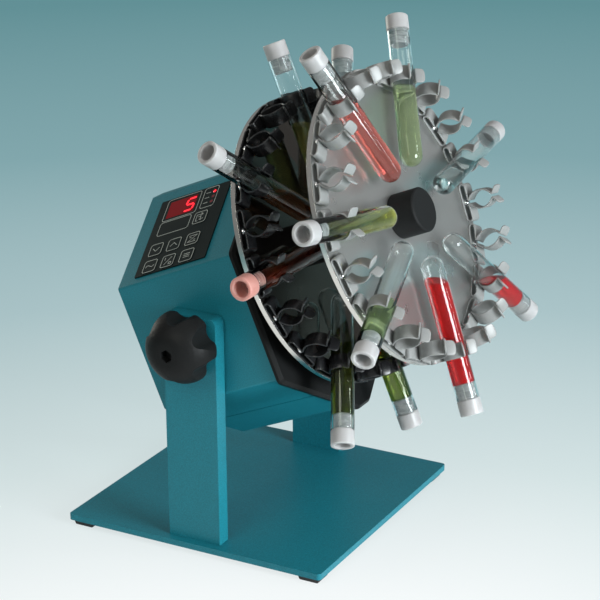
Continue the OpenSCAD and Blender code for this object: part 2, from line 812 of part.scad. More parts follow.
module hub_knob() {
    color("black") in_rotor() translate([0, 0, front_disc_at]) difference() {
        union() {
            cylinder(d = hub_d, h = hub_h - hub_bevel, $fn = fine);
            translate([0, 0, hub_h - hub_bevel])
                cylinder(d1 = hub_d, d2 = hub_d - 2 * hub_bevel, h = hub_bevel, $fn = fine);
        }
        translate([0, 0, -1]) cylinder(d = shaft_d, h = hub_bore_l + 1, $fn = fine);
    }
}

// ---- Clips ----

module ring(r_out, r_in) {
    difference() {
        circle(r = r_out, $fn = fine);
        circle(r = r_in, $fn = fine);
    }
}

// Base strip, its two bends and the two legs that fold back over it
module clip_foot() {
    translate([-clip_bend_at, 0]) square([2 * clip_bend_at, clip_t]);
    for (side = [0, 1]) mirror([side, 0]) {
        translate([clip_bend_at, clip_bend_r]) intersection() {
            ring(clip_bend_r, clip_bend_r - clip_t);
            translate([0, -clip_bend_r]) square([clip_bend_r, 2 * clip_bend_r]);
        }
        translate([arm_foot - clip_t, clip_base_h - clip_t])
            square([clip_bend_at - arm_foot + clip_t, clip_t]);
    }
}

// Tab with rounded corners that flares from the mouth at x, y
module clip_tab(x, y) {
    r = clip_tab_r;
    translate([x, 0, y]) rotate([0, tab_angle - 90, 0]) translate([-clip_t / 2, 0, -clip_t / 2])
        linear_extrude(clip_t) {
            translate([0, -clip_w / 2]) square([clip_tab_l - r, clip_w]);
            translate([0, r - clip_w / 2]) square([clip_tab_l, clip_w - 2 * r]);
            for (side = [-1, 1]) translate([clip_tab_l - r, side * (clip_w / 2 - r)])
                circle(r = r, $fn = fine);
        }
}

// Arms opened round a tube
module loaded_arms() {
    reach = 2 * loaded_r;
    for (side = [0, 1]) mirror([side, 0]) translate([0, tube_rise]) intersection() {
        ring(loaded_r, loaded_r - clip_t);
        polygon([[0, 0], [reach * (arm_foot - clip_t) / tube_rise, -reach], [reach, -reach],
                 [reach, reach], [loaded_mouth * reach / (loaded_mouth_y - tube_rise), reach]]);
    }
}

// Arms at rest, almost shut at the mouth
module relaxed_arms() {
    cx = relaxed_mouth + clip_arm_bulge - relaxed_r;
    for (side = [0, 1]) mirror([side, 0]) {
        translate([cx, relaxed_mid_y]) intersection() {
            ring(relaxed_r + clip_t / 2, relaxed_r - clip_t / 2);
            translate([-cx + mouth_gap / 2, -clip_arm_h / 2]) square([relaxed_r, clip_arm_h]);
        }
        translate([mouth_gap, clip_base_h - clip_t]) square([arm_foot, clip_t]);
    }
}

module clip(loaded) {
    mouth = loaded ? [loaded_mouth, loaded_mouth_y] : [relaxed_mouth, relaxed_mid_y + clip_arm_h / 2];
    translate([0, clip_circle_r, 0]) {
        difference() {
            rotate([90, 0, 0]) linear_extrude(clip_w, center = true) {
                clip_foot();
                if (loaded) loaded_arms(); else relaxed_arms();
            }
            translate([0, 0, -1]) cylinder(d = screw_d, h = clip_t + 2, $fn = fine);
        }
        for (side = [0, 1]) mirror([side, 0, 0]) clip_tab(mouth[0], mouth[1]);
    }
}

module clips(disc_at, offset, slots, shade) {
    color(shade) for (i = [0 : clip_count - 1])
        at_slot(disc_at, i, offset) clip(len(search(i, slots)) > 0);
}

module clip_screws(disc_at, offset) {
    head_h = 1.7;
    cap_r = (pow(clip_screw_head_d / 2, 2) + head_h * head_h) / (2 * head_h);
    color("silver") for (i = [0 : clip_count - 1]) at_slot(disc_at, i, offset)
        translate([0, clip_circle_r, 0]) {
            translate([0, 0, -disc_t]) cylinder(d = screw_d, h = disc_t + clip_t, $fn = fine);
            translate([0, 0, clip_t]) intersection() {
                translate([0, 0, head_h - cap_r]) sphere(r = cap_r, $fn = fine);
                cylinder(d = clip_screw_head_d + 1, h = head_h + 1, $fn = fine);
            }
        }
}

// ---- Tubes ----

front_offset = clip_pitch / 2;

// Places children on a tube's axis: z runs outwards from the tip of the round end
module on_tube(disc_at, offset, load) {
    at_slot(disc_at, load[0], offset)
        translate([0, load[1] - cap_l - tube_l, tube_rise]) rotate([-90, 0, 0]) children();
}

// Half outline of a round-ended rod
module rod_profile(r, tip, end) {
    intersection() {
        union() {
            translate([0, tip + r]) circle(r = r, $fn = fine);
            translate([0, tip + r]) square([r, end - tip - r]);
        }
        translate([0, tip]) square([r, end - tip]);
    }
}

module glass() {
    r = tube_d / 2;
    rotate_extrude($fn = fine) difference() {
        rod_profile(r, 0, tube_l);
        rod_profile(r - tube_wall, tube_wall, tube_l + 1);
    }
}

module tubes(disc_at, offset, loads) {
    color([0.8, 0.9, 0.9, 0.4]) for (load = loads) on_tube(disc_at, offset, load) glass();
}

// Push cap: a ribbed plug in the glass and a hollow grip outside it
module cap() {
    plug_r = tube_d / 2 - tube_wall;
    rib_w = 1;
    edge = 0.6;
    recess = cap_d / 2 - cap_wall;
    floor_at = 0.5;
    rotate_extrude($fn = fine) difference() {
        union() {
            translate([0, tube_l]) square([cap_d / 2, cap_l - edge]);
            translate([0, tube_l]) square([cap_d / 2 - edge, cap_l]);
            translate([cap_d / 2 - edge, tube_l + cap_l - edge]) circle(r = edge, $fn = fine);
            translate([0, tube_l - cap_plug_l]) square([plug_r - cap_rib_h, cap_plug_l + rib_w]);
            for (i = [0.5 : 1 : 2.5]) translate([0, tube_l - cap_plug_l * i / 3 - rib_w / 2])
                square([plug_r, rib_w]);
        }
        translate([-1, tube_l + floor_at]) square([recess + 1, cap_l]);
        translate([-1, tube_l - cap_plug_l - 1]) square([plug_r - cap_wall / 2 + 1, cap_plug_l]);
    }
}

module caps(disc_at, offset, loads) {
    color("white") for (load = loads) on_tube(disc_at, offset, load) cap();
}

// Height above the bench of a liquid's level surface
function liquid_level(disc_at, offset, load) =
    let (along = load[1] - cap_l - tube_l + load[2], angle = load[0] * clip_pitch + offset + rotor_phase)
    pivot_z + head_lift + cos(rest_tilt) * (rotor_rise + along * cos(angle))
        + sin(rest_tilt) * (disc_at + tube_rise) + load[3];

// Liquid: the inside of the tube between its tip and the plug, up to a level surface
module liquid(disc_at, offset, load) {
    intersection() {
        on_tube(disc_at, offset, load) rotate_extrude($fn = fine)
            rod_profile(tube_d / 2 - tube_wall, tube_wall, tube_l - cap_plug_l);
        translate([-disc_d, -2 * disc_d, 0])
            cube([2 * disc_d, 2 * disc_d, liquid_level(disc_at, offset, load)]);
    }
}

module tube_liquids() {
    color("olive") {
        for (load = front_load) liquid(front_disc_at, front_offset, load);
        for (load = rear_load) liquid(rear_disc_at, 0, load);
    }
}

// ---- Nodes ----

base_plate();
foot(-1, -1);  // foot_front_left
foot(1, -1);  // foot_front_right
foot(-1, 1);  // foot_rear_left
foot(1, 1);  // foot_rear_right
foot_screws();
upright(-1);  // upright_left
upright(1);  // upright_right
upright_screws();
housing_upper();
housing_lower();
rear_panel();
rear_panel_screws();
front_plate();
pivot_boss(-1);  // pivot_boss_left
pivot_boss(1);  // pivot_boss_right
friction_washer(-1);  // friction_washer_left
friction_washer(1);  // friction_washer_right
star_knob(-1);  // star_knob_left
star_knob(1);  // star_knob_right
clamp_stud(-1);  // clamp_stud_left
clamp_stud(1);  // clamp_stud_right
keypad_overlay();
key(0, 1);  // key_down
key(1, 1);  // key_up
key(2, 1);  // key_turn
key(0, 0);  // key_wave
key(1, 0);  // key_start
key(2, 0);  // key_set
key(2, 2);  // key_repeat
display_window();
display_module();
indicator_leds();
control_board();
power_supply();
chassis_plate();
motor_plate();
motor_screws();
gearbox();
motor();
front_bearing();
mains_inlet();
inlet_pins();
switch_frame();
switch_rocker();
drive_shaft();
rear_hub();
disc(rear_disc_at, 0);  // rear_disc
spacer();
disc(front_disc_at, front_offset);  // front_disc
hub_knob();
clips(rear_disc_at, 0, rear_slots, "black");  // rear_clips
clips(front_disc_at, front_offset, front_slots, "silver");  // front_clips
clip_screws(rear_disc_at, 0);  // rear_clip_screws
clip_screws(front_disc_at, front_offset);  // front_clip_screws
tubes(rear_disc_at, 0, rear_load);  // rear_tubes
tubes(front_disc_at, front_offset, front_load);  // front_tubes
caps(rear_disc_at, 0, rear_load);  // rear_caps
caps(front_disc_at, front_offset, front_load);  // front_caps
tube_liquids();
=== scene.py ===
"""Tube rotator: soft-edged shells, spring clips, glassware, liquids, keypad print and finishes."""
import json
import math

import bmesh
import bpy
from bpy.props import FloatProperty, FloatVectorProperty, IntProperty, PointerProperty
from mathutils import Matrix, Vector


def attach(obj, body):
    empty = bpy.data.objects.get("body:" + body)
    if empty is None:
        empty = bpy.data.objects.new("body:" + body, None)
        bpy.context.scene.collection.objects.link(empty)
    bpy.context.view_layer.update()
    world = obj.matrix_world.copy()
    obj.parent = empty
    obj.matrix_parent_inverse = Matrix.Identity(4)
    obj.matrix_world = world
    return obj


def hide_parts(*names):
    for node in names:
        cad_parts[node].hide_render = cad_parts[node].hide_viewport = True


bl_info = {
    "name": "Tube rotator finish",
    "version": (1, 0, 0),
    "blender": (4, 5, 0),
    "location": "View3D > Sidebar > Rotator",
    "description": "Dresses the tube rotator: soft edges, clips, glassware, liquids and keypad",
    "category": "Object",
}

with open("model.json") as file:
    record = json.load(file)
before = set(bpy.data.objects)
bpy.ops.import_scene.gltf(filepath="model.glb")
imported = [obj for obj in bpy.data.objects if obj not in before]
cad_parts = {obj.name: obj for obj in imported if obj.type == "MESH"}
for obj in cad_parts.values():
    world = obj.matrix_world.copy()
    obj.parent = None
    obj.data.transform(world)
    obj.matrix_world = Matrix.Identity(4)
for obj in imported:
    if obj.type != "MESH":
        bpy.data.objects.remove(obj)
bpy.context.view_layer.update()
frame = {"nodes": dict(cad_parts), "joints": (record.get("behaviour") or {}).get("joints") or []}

MM = 0.001

# ---- Frames shared with the solids ----


def joint(name):
    """Joint of the frame by its name."""
    return next(j for j in frame["joints"] if j["name"] == name)


def axes(origin, x, y, z):
    """Matrix of a frame from its origin and its three unit directions."""
    m = Matrix((x, y, z)).transposed().to_4x4()
    m.translation = origin
    return m


PIVOT = Vector(joint("head_tilt")["pos_m"])
ACROSS = Vector((1, 0, 0))
AXIS = Vector(joint("rotor_spin")["axis"]).normalized()
if AXIS.y > 0:
    AXIS = -AXIS
SQUARE = AXIS.cross(ACROSS)
HEAD_LIFT = 2 * MM
HEAD = axes(PIVOT + Vector((0, 0, HEAD_LIFT)), ACROSS, SQUARE, AXIS)
RISE = (HEAD.inverted() @ Vector(joint("rotor_spin")["pos_m"])).y


def span(node, within=HEAD):
    """Lowest and highest corner of a CAD node in a frame of its own."""
    inverse = within.inverted()
    points = [inverse @ v.co for v in frame["nodes"][node].data.vertices]
    return Vector(map(min, zip(*points))), Vector(map(max, zip(*points)))


HOUSING_SIDE = span("housing_upper")[0].x
REAR_FACE = span("rear_disc")[1].z
FRONT_FACE = span("front_disc")[1].z
DISC_R = (span("front_disc")[1].x - span("front_disc")[0].x) / 2
OVERLAY_OUT = -Vector(joint("key_down_press")["axis"]).normalized()
OVERLAY_UP = OVERLAY_OUT.cross(AXIS)
SIDE_H = 79 * MM
SLOPE = axes(HEAD @ Vector((HOUSING_SIDE, SIDE_H / 2, 0)), AXIS, OVERLAY_UP, OVERLAY_OUT)

CLIP_COUNT = 20
PITCH = 360 / CLIP_COUNT
ROTOR_PHASE = 1
CLIP_CIRCLE = 85.5 * MM
TUBE_RISE = 12.6 * MM

# Each tube, in mm: slot, radius of the cap's end, place on its axis that the liquid's level
# surface meets, how far the surface stands above that, and the liquid's colour
FRONT_TUBES = (
    (1, 125, 51, 0, "pale_green"),
    (4, 134, 40, 0, "water"),
    (7, 131, 51.5, 0, "cherry"),
    (10, 124.5, 15, 0, "scarlet"),
    (13, 127, 52, 0, "pale_lime"),
    (15, 128.5, 38, 0, "moss"),
    (18, 122.5, 60, 0, "coral"),
)
REAR_TUBES = (
    (0, 122, 45, 0, "straw"),
    (2, 128, 45, 0, "tea"),
    (10, 126.5, 25, 0, "olive"),
    (12, 136, 29, 0, "bottle_green"),
    (15, 122, 40, 3, "rust"),
    (17, 131.5, 33, 0, "amber"),
)


def slot_frame(face, slot, offset):
    """Frame of a clip: x along the rim, y outwards, z away from the disc's face."""
    turn = Matrix.Rotation(-math.radians(ROTOR_PHASE + slot * PITCH + offset), 4, "Z")
    return HEAD @ Matrix.Translation((0, RISE, 0)) @ turn @ Matrix.Translation((0, 0, face))


def tube_frame(face, offset, slot, cap_end, s):
    """Frame of a tube: z runs outwards from the tip of its round end."""
    tip = cap_end * MM - s.cap_length - s.glass_length
    lift = Matrix.Translation((0, tip, TUBE_RISE)) @ Matrix.Rotation(-math.pi / 2, 4, "X")
    return slot_frame(face, slot, offset) @ lift


RACKS = (("rear", REAR_FACE, 0.0, REAR_TUBES), ("front", FRONT_FACE, PITCH / 2, FRONT_TUBES))

# ---- Effects shared by the finishes ----


def effect(name, inputs, outputs, build):
    """Shader node group, made once, with named inputs and outputs."""
    tree = bpy.data.node_groups.get(name)
    if tree:
        return tree
    tree = bpy.data.node_groups.new(name, "ShaderNodeTree")
    for label, kind, value in inputs:
        socket = tree.interface.new_socket(label, in_out="INPUT", socket_type=kind)
        if value is not None:
            socket.default_value = value
    for label, kind in outputs:
        tree.interface.new_socket(label, in_out="OUTPUT", socket_type=kind)
    build(tree, tree.nodes.new("NodeGroupInput"), tree.nodes.new("NodeGroupOutput"))
    return tree


def add(tree, kind, inputs, **settings):
    """Adds a shader node, feeds its inputs, by name or number, with constants or other nodes'
    outputs, and gives its own outputs."""
    node = tree.nodes.new("ShaderNode" + kind)
    for setting, value in settings.items():
        setattr(node, setting, value)
    for label, value in inputs.items():
        if isinstance(value, bpy.types.NodeSocket):
            tree.links.new(value, node.inputs[label])
        else:
            node.inputs[label].default_value = value
    return node.outputs


def math_node(tree, operation, a, b):
    """One operation of arithmetic on two values."""
    return add(tree, "Math", {0: a, 1: b}, operation=operation)[0]


def noise_node(tree, vector, size, detail):
    """Noise whose blobs are about as large as the size socket says, in metres."""
    scale = math_node(tree, "DIVIDE", 1.0, size)
    return add(tree, "TexNoise", {"Vector": vector, "Scale": scale, "Detail": detail})["Fac"]


def map_node(tree, value, low_in, high_in, low, high):
    """Carries a value from one range over to another, and holds it at the ends."""
    return add(tree, "MapRange", {"Value": value, "From Min": low_in, "From Max": high_in,
                                  "To Min": low, "To Max": high})["Result"]


def grain_effect():
    """Fine grain of a powder coat or a moulded skin: a height and a speckled colour."""
    fine_size, coarse_share = 0.35, 0.6
    low, high = 0.32, 0.68

    def build(tree, given, out):
        vector, size, spread = (given.outputs[label] for label in ("Vector", "Size", "Speckle"))
        coarse = noise_node(tree, vector, size, 3.0)
        fine = noise_node(tree, vector, math_node(tree, "MULTIPLY", size, fine_size), 2.0)
        both = math_node(tree, "ADD", math_node(tree, "MULTIPLY", coarse, coarse_share),
                         math_node(tree, "MULTIPLY", fine, 1 - coarse_share))
        tone = map_node(tree, both, low, high, math_node(tree, "SUBTRACT", 1.0, spread),
                        math_node(tree, "ADD", 1.0, spread))
        tint = add(tree, "VectorMath", {"Vector": given.outputs["Colour"], "Scale": tone},
                   operation="SCALE")
        tree.links.new(both, out.inputs["Height"])
        tree.links.new(tint["Vector"], out.inputs["Colour"])

    return effect("Grain", (("Vector", "NodeSocketVector", None),
                            ("Colour", "NodeSocketColor", (0.5, 0.5, 0.5, 1.0)),
                            ("Size", "NodeSocketFloat", 0.0006),
                            ("Speckle", "NodeSocketFloat", 0.1)),
                  (("Colour", "NodeSocketColor"), ("Height", "NodeSocketFloat")), build)


def handling_effect():
    """Slow patches of duller and shinier surface left by handling."""
    low, high = 0.3, 0.7

    def build(tree, given, out):
        slow = noise_node(tree, given.outputs["Vector"], given.outputs["Size"], 4.0)
        rough = map_node(tree, slow, low, high, given.outputs["Shiny"], given.outputs["Dull"])
        tree.links.new(rough, out.inputs["Roughness"])

    return effect("Handling", (("Vector", "NodeSocketVector", None),
                               ("Size", "NodeSocketFloat", 0.03),
                               ("Shiny", "NodeSocketFloat", 0.3),
                               ("Dull", "NodeSocketFloat", 0.4)),
                  (("Roughness", "NodeSocketFloat"),), build)


def new_material(name):
    """Bare material, with its nodes and its shader."""
    material = bpy.data.materials.new(name)
    material.use_nodes = True
    return material, material.node_tree, material.node_tree.nodes["Principled BSDF"]


def finish(name, colour, shiny, dull, grain=0.6, speckle=0.06, relief=0.02, patch=25, **plain):
    """Material with grain, relief and handling. Sizes in mm; plain values go on the shader's own
    sockets by name, spaces written as underscores."""
    material = bpy.data.materials.get("finish_" + name)
    if material:
        return material
    material, tree, shader = new_material("finish_" + name)
    here = add(tree, "TexCoord", {})["Object"]
    skin = add(tree, "Group", {"Vector": here, "Colour": (*colour, 1.0), "Size": grain * MM,
                               "Speckle": speckle}, node_tree=grain_effect())
    bump = add(tree, "Bump", {"Height": skin["Height"], "Distance": relief * MM})
    wear = add(tree, "Group", {"Vector": here, "Size": patch * MM, "Shiny": shiny, "Dull": dull},
               node_tree=handling_effect())
    tree.links.new(skin["Colour"], shader.inputs["Base Color"])
    tree.links.new(bump["Normal"], shader.inputs["Normal"])
    tree.links.new(wear["Roughness"], shader.inputs["Roughness"])
    for label, value in plain.items():
        shader.inputs[label.replace("_", " ")].default_value = value
    material.diffuse_color = (*colour, 1.0)
    return material


# ---- Making and dressing pieces ----


def dress(node, material):
    """Gives a CAD node its finish."""
    mesh = frame["nodes"][node].data
    mesh.materials.clear()
    mesh.materials.append(material)


def show(name, data):
    """Puts a new object in the scene."""
    obj = bpy.data.objects.new(name, data)
    bpy.context.scene.collection.objects.link(obj)
    return obj


def place(name, mesh, body, material, slot, *replaced):
    """Puts a finished mesh in the scene on its body, in place of CAD nodes."""
    obj = show(name, mesh)
    mesh.materials.append(material)
    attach(obj, body)
    if replaced:
        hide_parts(*replaced)
    return obj


def finished_mesh(bm, name, smooth=35):
    """Mesh from a bmesh, smooth except where faces meet at more than an angle."""
    bmesh.ops.recalc_face_normals(bm, faces=bm.faces)
    mesh = bpy.data.meshes.new(name)
    bm.to_mesh(mesh)
    bm.free()
    mesh.shade_smooth()
    mesh.set_sharp_from_angle(angle=math.radians(smooth))
    return mesh


def make(bm, name, body, material, slot, *replaced, smooth=35):
    """Puts a bmesh in the scene as a finished piece."""
    return place(name, finished_mesh(bm, name, smooth), body, material, slot, *replaced)


def even_normals(mesh, spread=45, broad=250, level=2):
    """Keeps broad faces (over an area in square mm) flat to a few degrees at their corners and
    lets the other faces run into their neighbours within a spread in degrees."""
    nothing = 1e-9
    around = [[] for _ in mesh.vertices]
    for face in mesh.polygons:
        for v in face.vertices:
            around[v].append(face.index)
    normals = [face.normal.copy() for face in mesh.polygons]
    areas = [face.area / MM ** 2 for face in mesh.polygons]
    corners = [None] * len(mesh.loops)
    for face in mesh.polygons:
        limit = math.cos(math.radians(level if areas[face.index] > broad else spread))
        for loop, v in zip(face.loop_indices, face.vertices):
            total = Vector()
            for other in around[v]:
                if other == face.index or normals[other].dot(normals[face.index]) > limit:
                    total += normals[other] * (areas[other] ** 2 + nothing)
            corners[loop] = total.normalized()
    mesh.shade_smooth()
    mesh.normals_split_custom_set(corners)


def soften(node, name, body, material, slot, edge, segments=2, smooth=30):
    """Piece with the solid's own shape and rounded edges, the edge radius in metres."""
    weld, flat = 2e-6, math.radians(0.4)
    bm = bmesh.new()
    bm.from_mesh(frame["nodes"][node].data)
    bmesh.ops.remove_doubles(bm, verts=bm.verts, dist=weld)
    bmesh.ops.dissolve_limit(bm, angle_limit=flat, verts=bm.verts, edges=bm.edges)
    mesh = bpy.data.meshes.new(name + "_core")
    bm.to_mesh(mesh)
    bm.free()
    core = show(name + "_core", mesh)
    bevel = core.modifiers.new("edge", "BEVEL")
    bevel.width = edge
    bevel.segments = segments
    bevel.limit_method = "ANGLE"
    bevel.angle_limit = math.radians(smooth)
    bpy.context.view_layer.update()
    evaluated = core.evaluated_get(bpy.context.evaluated_depsgraph_get())
    shaped = bpy.data.meshes.new_from_object(evaluated)
    bpy.data.objects.remove(core)
    bpy.data.meshes.remove(mesh)
    shaped.name = name
    shaped.materials.clear()
    even_normals(shaped)
    return place(name, shaped, body, material, slot, node)


def join_rings(bm, rings, close):
    """Bands of faces between neighbouring rings of corners and, where it closes, from the last to
    the first. A ring of one corner is a tip."""
    following = rings[1:] + (rings[:1] if close else [])
    for one, two in zip(rings, following):
        count = max(len(one), len(two))
        for i in range(count if count > 1 else 0):
            j = (i + 1) % count
            if len(one) == 1:
                bm.faces.new((one[0], two[j], two[i]))
            elif len(two) == 1:
                bm.faces.new((one[i], one[j], two[0]))
            else:
                bm.faces.new((one[i], one[j], two[j], two[i]))


def solid_bar(bm, rings, close):
    """Solid bar through rings of corners, joined to a loop or with a face at both ends."""
    join_rings(bm, rings, close)
    if not close:
        bm.faces.new(rings[0])
        bm.faces.new(rings[-1][::-1])


def lathe(bm, profile, matrix, steps, close=True):
    """Turns a half outline of (radius, height) pairs round the z axis of a frame. A point on the
    axis stays one point."""
    on_axis = 1e-7
    turns = [2 * math.pi * i / steps for i in range(steps)]
    rings = []
    for r, z in profile:
        ring = [(0, 0, z)]
        if r > on_axis:
            ring = [(r * math.cos(a), r * math.sin(a), z) for a in turns]
        rings.append([bm.verts.new(matrix @ Vector(corner)) for corner in ring])
    join_rings(bm, rings, close)


def arc(cx, cy, r, start, end, steps):
    """Points round a centre, from one angle in degrees to another."""
    turns = (math.radians(start + (end - start) * i / steps) for i in range(steps + 1))
    return [(cx + r * math.cos(a), cy + r * math.sin(a)) for a in turns]


def rounded_box(cx, cy, wide, tall, r, steps):
    """Points round a box with rounded corners, anticlockwise."""
    x, y = wide / 2 - r, tall / 2 - r
    points = []
    for i, (across, up) in enumerate(((x, y), (-x, y), (-x, -y), (x, -y))):
        points += arc(cx + across, cy + up, r, 90 * i, 90 * (i + 1), steps)
    return points


# ---- Sizes and colours ----


def length(label, text, value):
    """Size given in mm and kept in metres."""
    return FloatProperty(name=label, description=text, default=value * MM, unit="LENGTH",
                         precision=5)


def shade(label, text, value):
    """Colour, as shares of red, green and blue."""
    return FloatVectorProperty(name=label, description=text, default=value, subtype="COLOR",
                               min=0.0, max=1.0)


def angle(label, text, degrees):
    """Angle given in degrees and kept in radians."""
    return FloatProperty(name=label, description=text, default=math.radians(degrees),
                         subtype="ANGLE")


def power(label, text, watts):
    """Power of a lamp in watts."""
    return FloatProperty(name=label, description=text, default=watts, unit="POWER", min=0)


def spot(label, text, value):
    """Place in metres."""
    return FloatVectorProperty(name=label, description=text, default=value, unit="LENGTH",
                               subtype="TRANSLATION")


class StageLooks(bpy.types.PropertyGroup):
    """Camera, floor and lamps."""
    camera_place: spot("Camera place", "Where the camera stands", (-1.02191, -0.585, 0.5591))
    azimuth: angle("Azimuth", "Turn of the view round the object", -61.4495)
    elevation: angle("Elevation", "Height of the view above the horizon", 19.6957)
    roll: angle("Roll", "Turn of the camera about its own axis", -0.3807)
    lens: FloatProperty(name="Lens", description="Focal length for a 36 mm sensor",
                        default=119.334, unit="CAMERA")
    pool: spot("Pool", "Middle of the palest part of the floor", (-0.35, -0.2, 0.0))
    reach: length("Reach", "How far from the pool the floor is darkest", 2100)
    floor_1: shade("Floor 1", "Palest tone of the floor", (0.90, 0.93, 0.935))
    floor_2: shade("Floor 2", "Tone under the object", (0.65, 0.75, 0.757))
    floor_3: shade("Floor 3", "Tone just behind the object", (0.407, 0.552, 0.578))
    floor_4: shade("Floor 4", "Tone far behind the object", (0.227, 0.392, 0.423))
    floor_5: shade("Floor 5", "Darkest tone of the floor", (0.125, 0.283, 0.309))
    fill: FloatProperty(name="Fill", description="Strength of the even light", default=0.27, min=0)
    key: power("Key lamp", "Power of the large lamp in front", 58.0)
    side: power("Side lamp", "Power of the lamp at the left", 8.0)
    streak: power("Streak lamp", "Power of the narrow lamp at the right", 5.0)
    back: power("Back lamp", "Power of the lamp behind", 9.0)
    top: power("Top lamp", "Power of the lamp overhead", 1.5)
    cool: shade("Cool tone", "Colour of the lamps in front", (0.90, 0.97, 1.0))
    warm: shade("Warm tone", "Colour of the other lamps", (1.0, 0.99, 0.88))


class StandLooks(bpy.types.PropertyGroup):
    """Painted stand and housing."""
    paint: shade("Powder coat", "Colour of the painted metal", (0.0080, 0.155, 0.200))
    grain: length("Coat grain", "Size of the texture in the powder coat", 0.7)
    edge: length("Painted edge", "Radius of the painted edges", 0.55)
    rubber: shade("Rubber", "Colour of the feet", (0.010, 0.010, 0.011))
    foot_w: length("Foot width", "Width of a square foot at the plate", 14.5)
    foot_taper: length("Foot taper", "How far a side leans in towards the bench", 0.9)
    foot_shift: length("Foot shift", "Shift of a foot towards its corner", 2.7)
    moulding: shade("Black moulding", "Colour of the knobs, hub and front plate",
                    (0.0095, 0.0098, 0.010))


class KeypadLooks(bpy.types.PropertyGroup):
    """Membrane keypad."""
    membrane: shade("Membrane", "Colour of the overlay and keys", (0.006, 0.012, 0.012))
    print_colour: shade("Print", "Colour of the outlines and symbols", (0.42, 0.45, 0.42))
    line: length("Line", "Width of a printed line", 0.42)
    print_height: length("Print height", "Thickness of the print", 0.04)
    # The window's colour is also the colour of the pane's even glow, which is painted glow.
    window: shade("Window", "Colour of the display window", (0.085, 0.004, 0.005))
    glow: shade("Display glow", "Colour of the lit segments and light", (1.0, 0.012, 0.03))
    glow_strength: FloatProperty(name="Glow strength", description="Brightness of the lit segments",
                                 default=1.1, min=0)


class ClipLooks(bpy.types.PropertyGroup):
    """Spring clips, bent from flat strip."""
    strip_w: length("Strip width", "Width of the clip strip", 9)
    strip_t: length("Strip thickness", "Thickness of the clip strip", 1)
    base_l: length("Base length", "Length of the base over its bends", 25)
    base_h: length("Base height", "Height of the folded base", 5)
    arm_h: length("Arm height", "Height of the relaxed arms over the base", 17)
    bulge: length("Arm bulge", "Bulge of a relaxed arm from its chord", 4.9)
    tab_l: length("Tab length", "Length of a flared tab", 6)
    tab_r: length("Tab corner", "Radius of a tab's corners", 2.5)
    tab_angle: angle("Tab angle", "Flare of a tab from upright", 52)
    front: shade("Front clips", "Colour of the clips of the front disc", (0.235, 0.235, 0.23))
    rear: shade("Rear clips", "Colour of the clips of the rear disc", (0.010, 0.010, 0.011))


class DiscLooks(bpy.types.PropertyGroup):
    """Two discs and the hub."""
    front: shade("Front disc", "Colour of the satin disc", (0.56, 0.56, 0.545))
    rear: shade("Rear disc", "Colour of the dark glossy disc", (0.010, 0.009, 0.0085))
    rim: shade("Rim", "Colour of the turned rims", (0.70, 0.68, 0.64))
    edge: length("Disc edge", "Radius of a disc's edges", 0.35)


class TubeLooks(bpy.types.PropertyGroup):
    """Test tubes, caps and liquids."""
    glass_d: length("Tube diameter", "Outside diameter of a tube", 14)
    glass_wall: length("Tube wall", "Wall of the glass", 1)
    glass_length: length("Tube length", "Length of the glass", 87.5)
    cap_d: length("Cap diameter", "Diameter of a cap", 14)
    cap_length: length("Cap length", "Length of a cap outside the glass", 9.5)
    cap_wall: length("Cap wall", "Wall of the hollow grip", 2.3)
    plug_length: length("Plug length", "Length of a cap's plug in the glass", 9.5)
    steps: IntProperty(name="Steps", description="Facets round a tube", default=64, min=16)
    cap: shade("Cap", "Colour of the push caps", (0.36, 0.35, 0.35))
    stained: shade("Stained cap", "Colour of the cap stained by its liquid", (0.45, 0.21, 0.18))
    coral: shade("Coral", "Liquid colour", (0.85, 0.20, 0.17))
    pale_green: shade("Pale green", "Liquid colour", (0.62, 0.72, 0.40))
    water: shade("Water", "Liquid colour", (0.93, 0.94, 0.92))
    cherry: shade("Cherry", "Liquid colour", (0.62, 0.006, 0.010))
    scarlet: shade("Scarlet", "Liquid colour", (0.68, 0.012, 0.013))
    pale_lime: shade("Pale lime", "Liquid colour", (0.60, 0.74, 0.36))
    moss: shade("Moss", "Liquid colour", (0.58, 0.58, 0.10))
    straw: shade("Straw", "Liquid colour", (0.62, 0.52, 0.16))
    olive: shade("Olive", "Liquid colour", (0.15, 0.195, 0.012))
    bottle_green: shade("Bottle green", "Liquid colour", (0.10, 0.125, 0.008))
    rust: shade("Rust", "Liquid colour", (0.22, 0.03, 0.012))
    amber: shade("Amber", "Liquid colour", (0.35, 0.12, 0.04))
    tea: shade("Tea", "Liquid colour", (0.40, 0.18, 0.10))


LOOKS = {"stage": StageLooks, "stand": StandLooks, "keypad": KeypadLooks, "clips": ClipLooks,
         "discs": DiscLooks, "tubes": TubeLooks}


def looks(part):
    """Sizes and colours of a part, as they are set in the panel."""
    return getattr(bpy.context.scene, "rotator_" + part)


# ---- Finishes by name ----


def teal_paint():
    s = looks("stand")
    return finish("teal_powder_coat", s.paint, 0.38, 0.46, grain=s.grain / MM, speckle=0.26,
                  relief=0.045, patch=40, Specular_IOR_Level=0.3)


def black_moulding():
    return finish("black_moulding", looks("stand").moulding, 0.42, 0.55, grain=0.45, speckle=0.1,
                  relief=0.02, Specular_IOR_Level=0.1)


def black_paint():
    return finish("black_paint", looks("stand").moulding, 0.34, 0.44, grain=0.6, speckle=0.15,
                  relief=0.025, Specular_IOR_Level=0.07)


def steel():
    return finish("zinc_steel", (0.52, 0.52, 0.51), 0.28, 0.42, grain=0.8, speckle=0.05,
                  relief=0.008, patch=8, Metallic=1.0)


def chrome():
    return finish("chrome", (0.80, 0.80, 0.81), 0.08, 0.16, grain=0.5, speckle=0.02,
                  relief=0.003, patch=4, Metallic=1.0)


# ---- Shared by the operators ----


def painted(node, name, body, *edge):
    """Softened piece of painted metal."""
    soften(node, name, body, teal_paint(), "teal_paint", *edge)


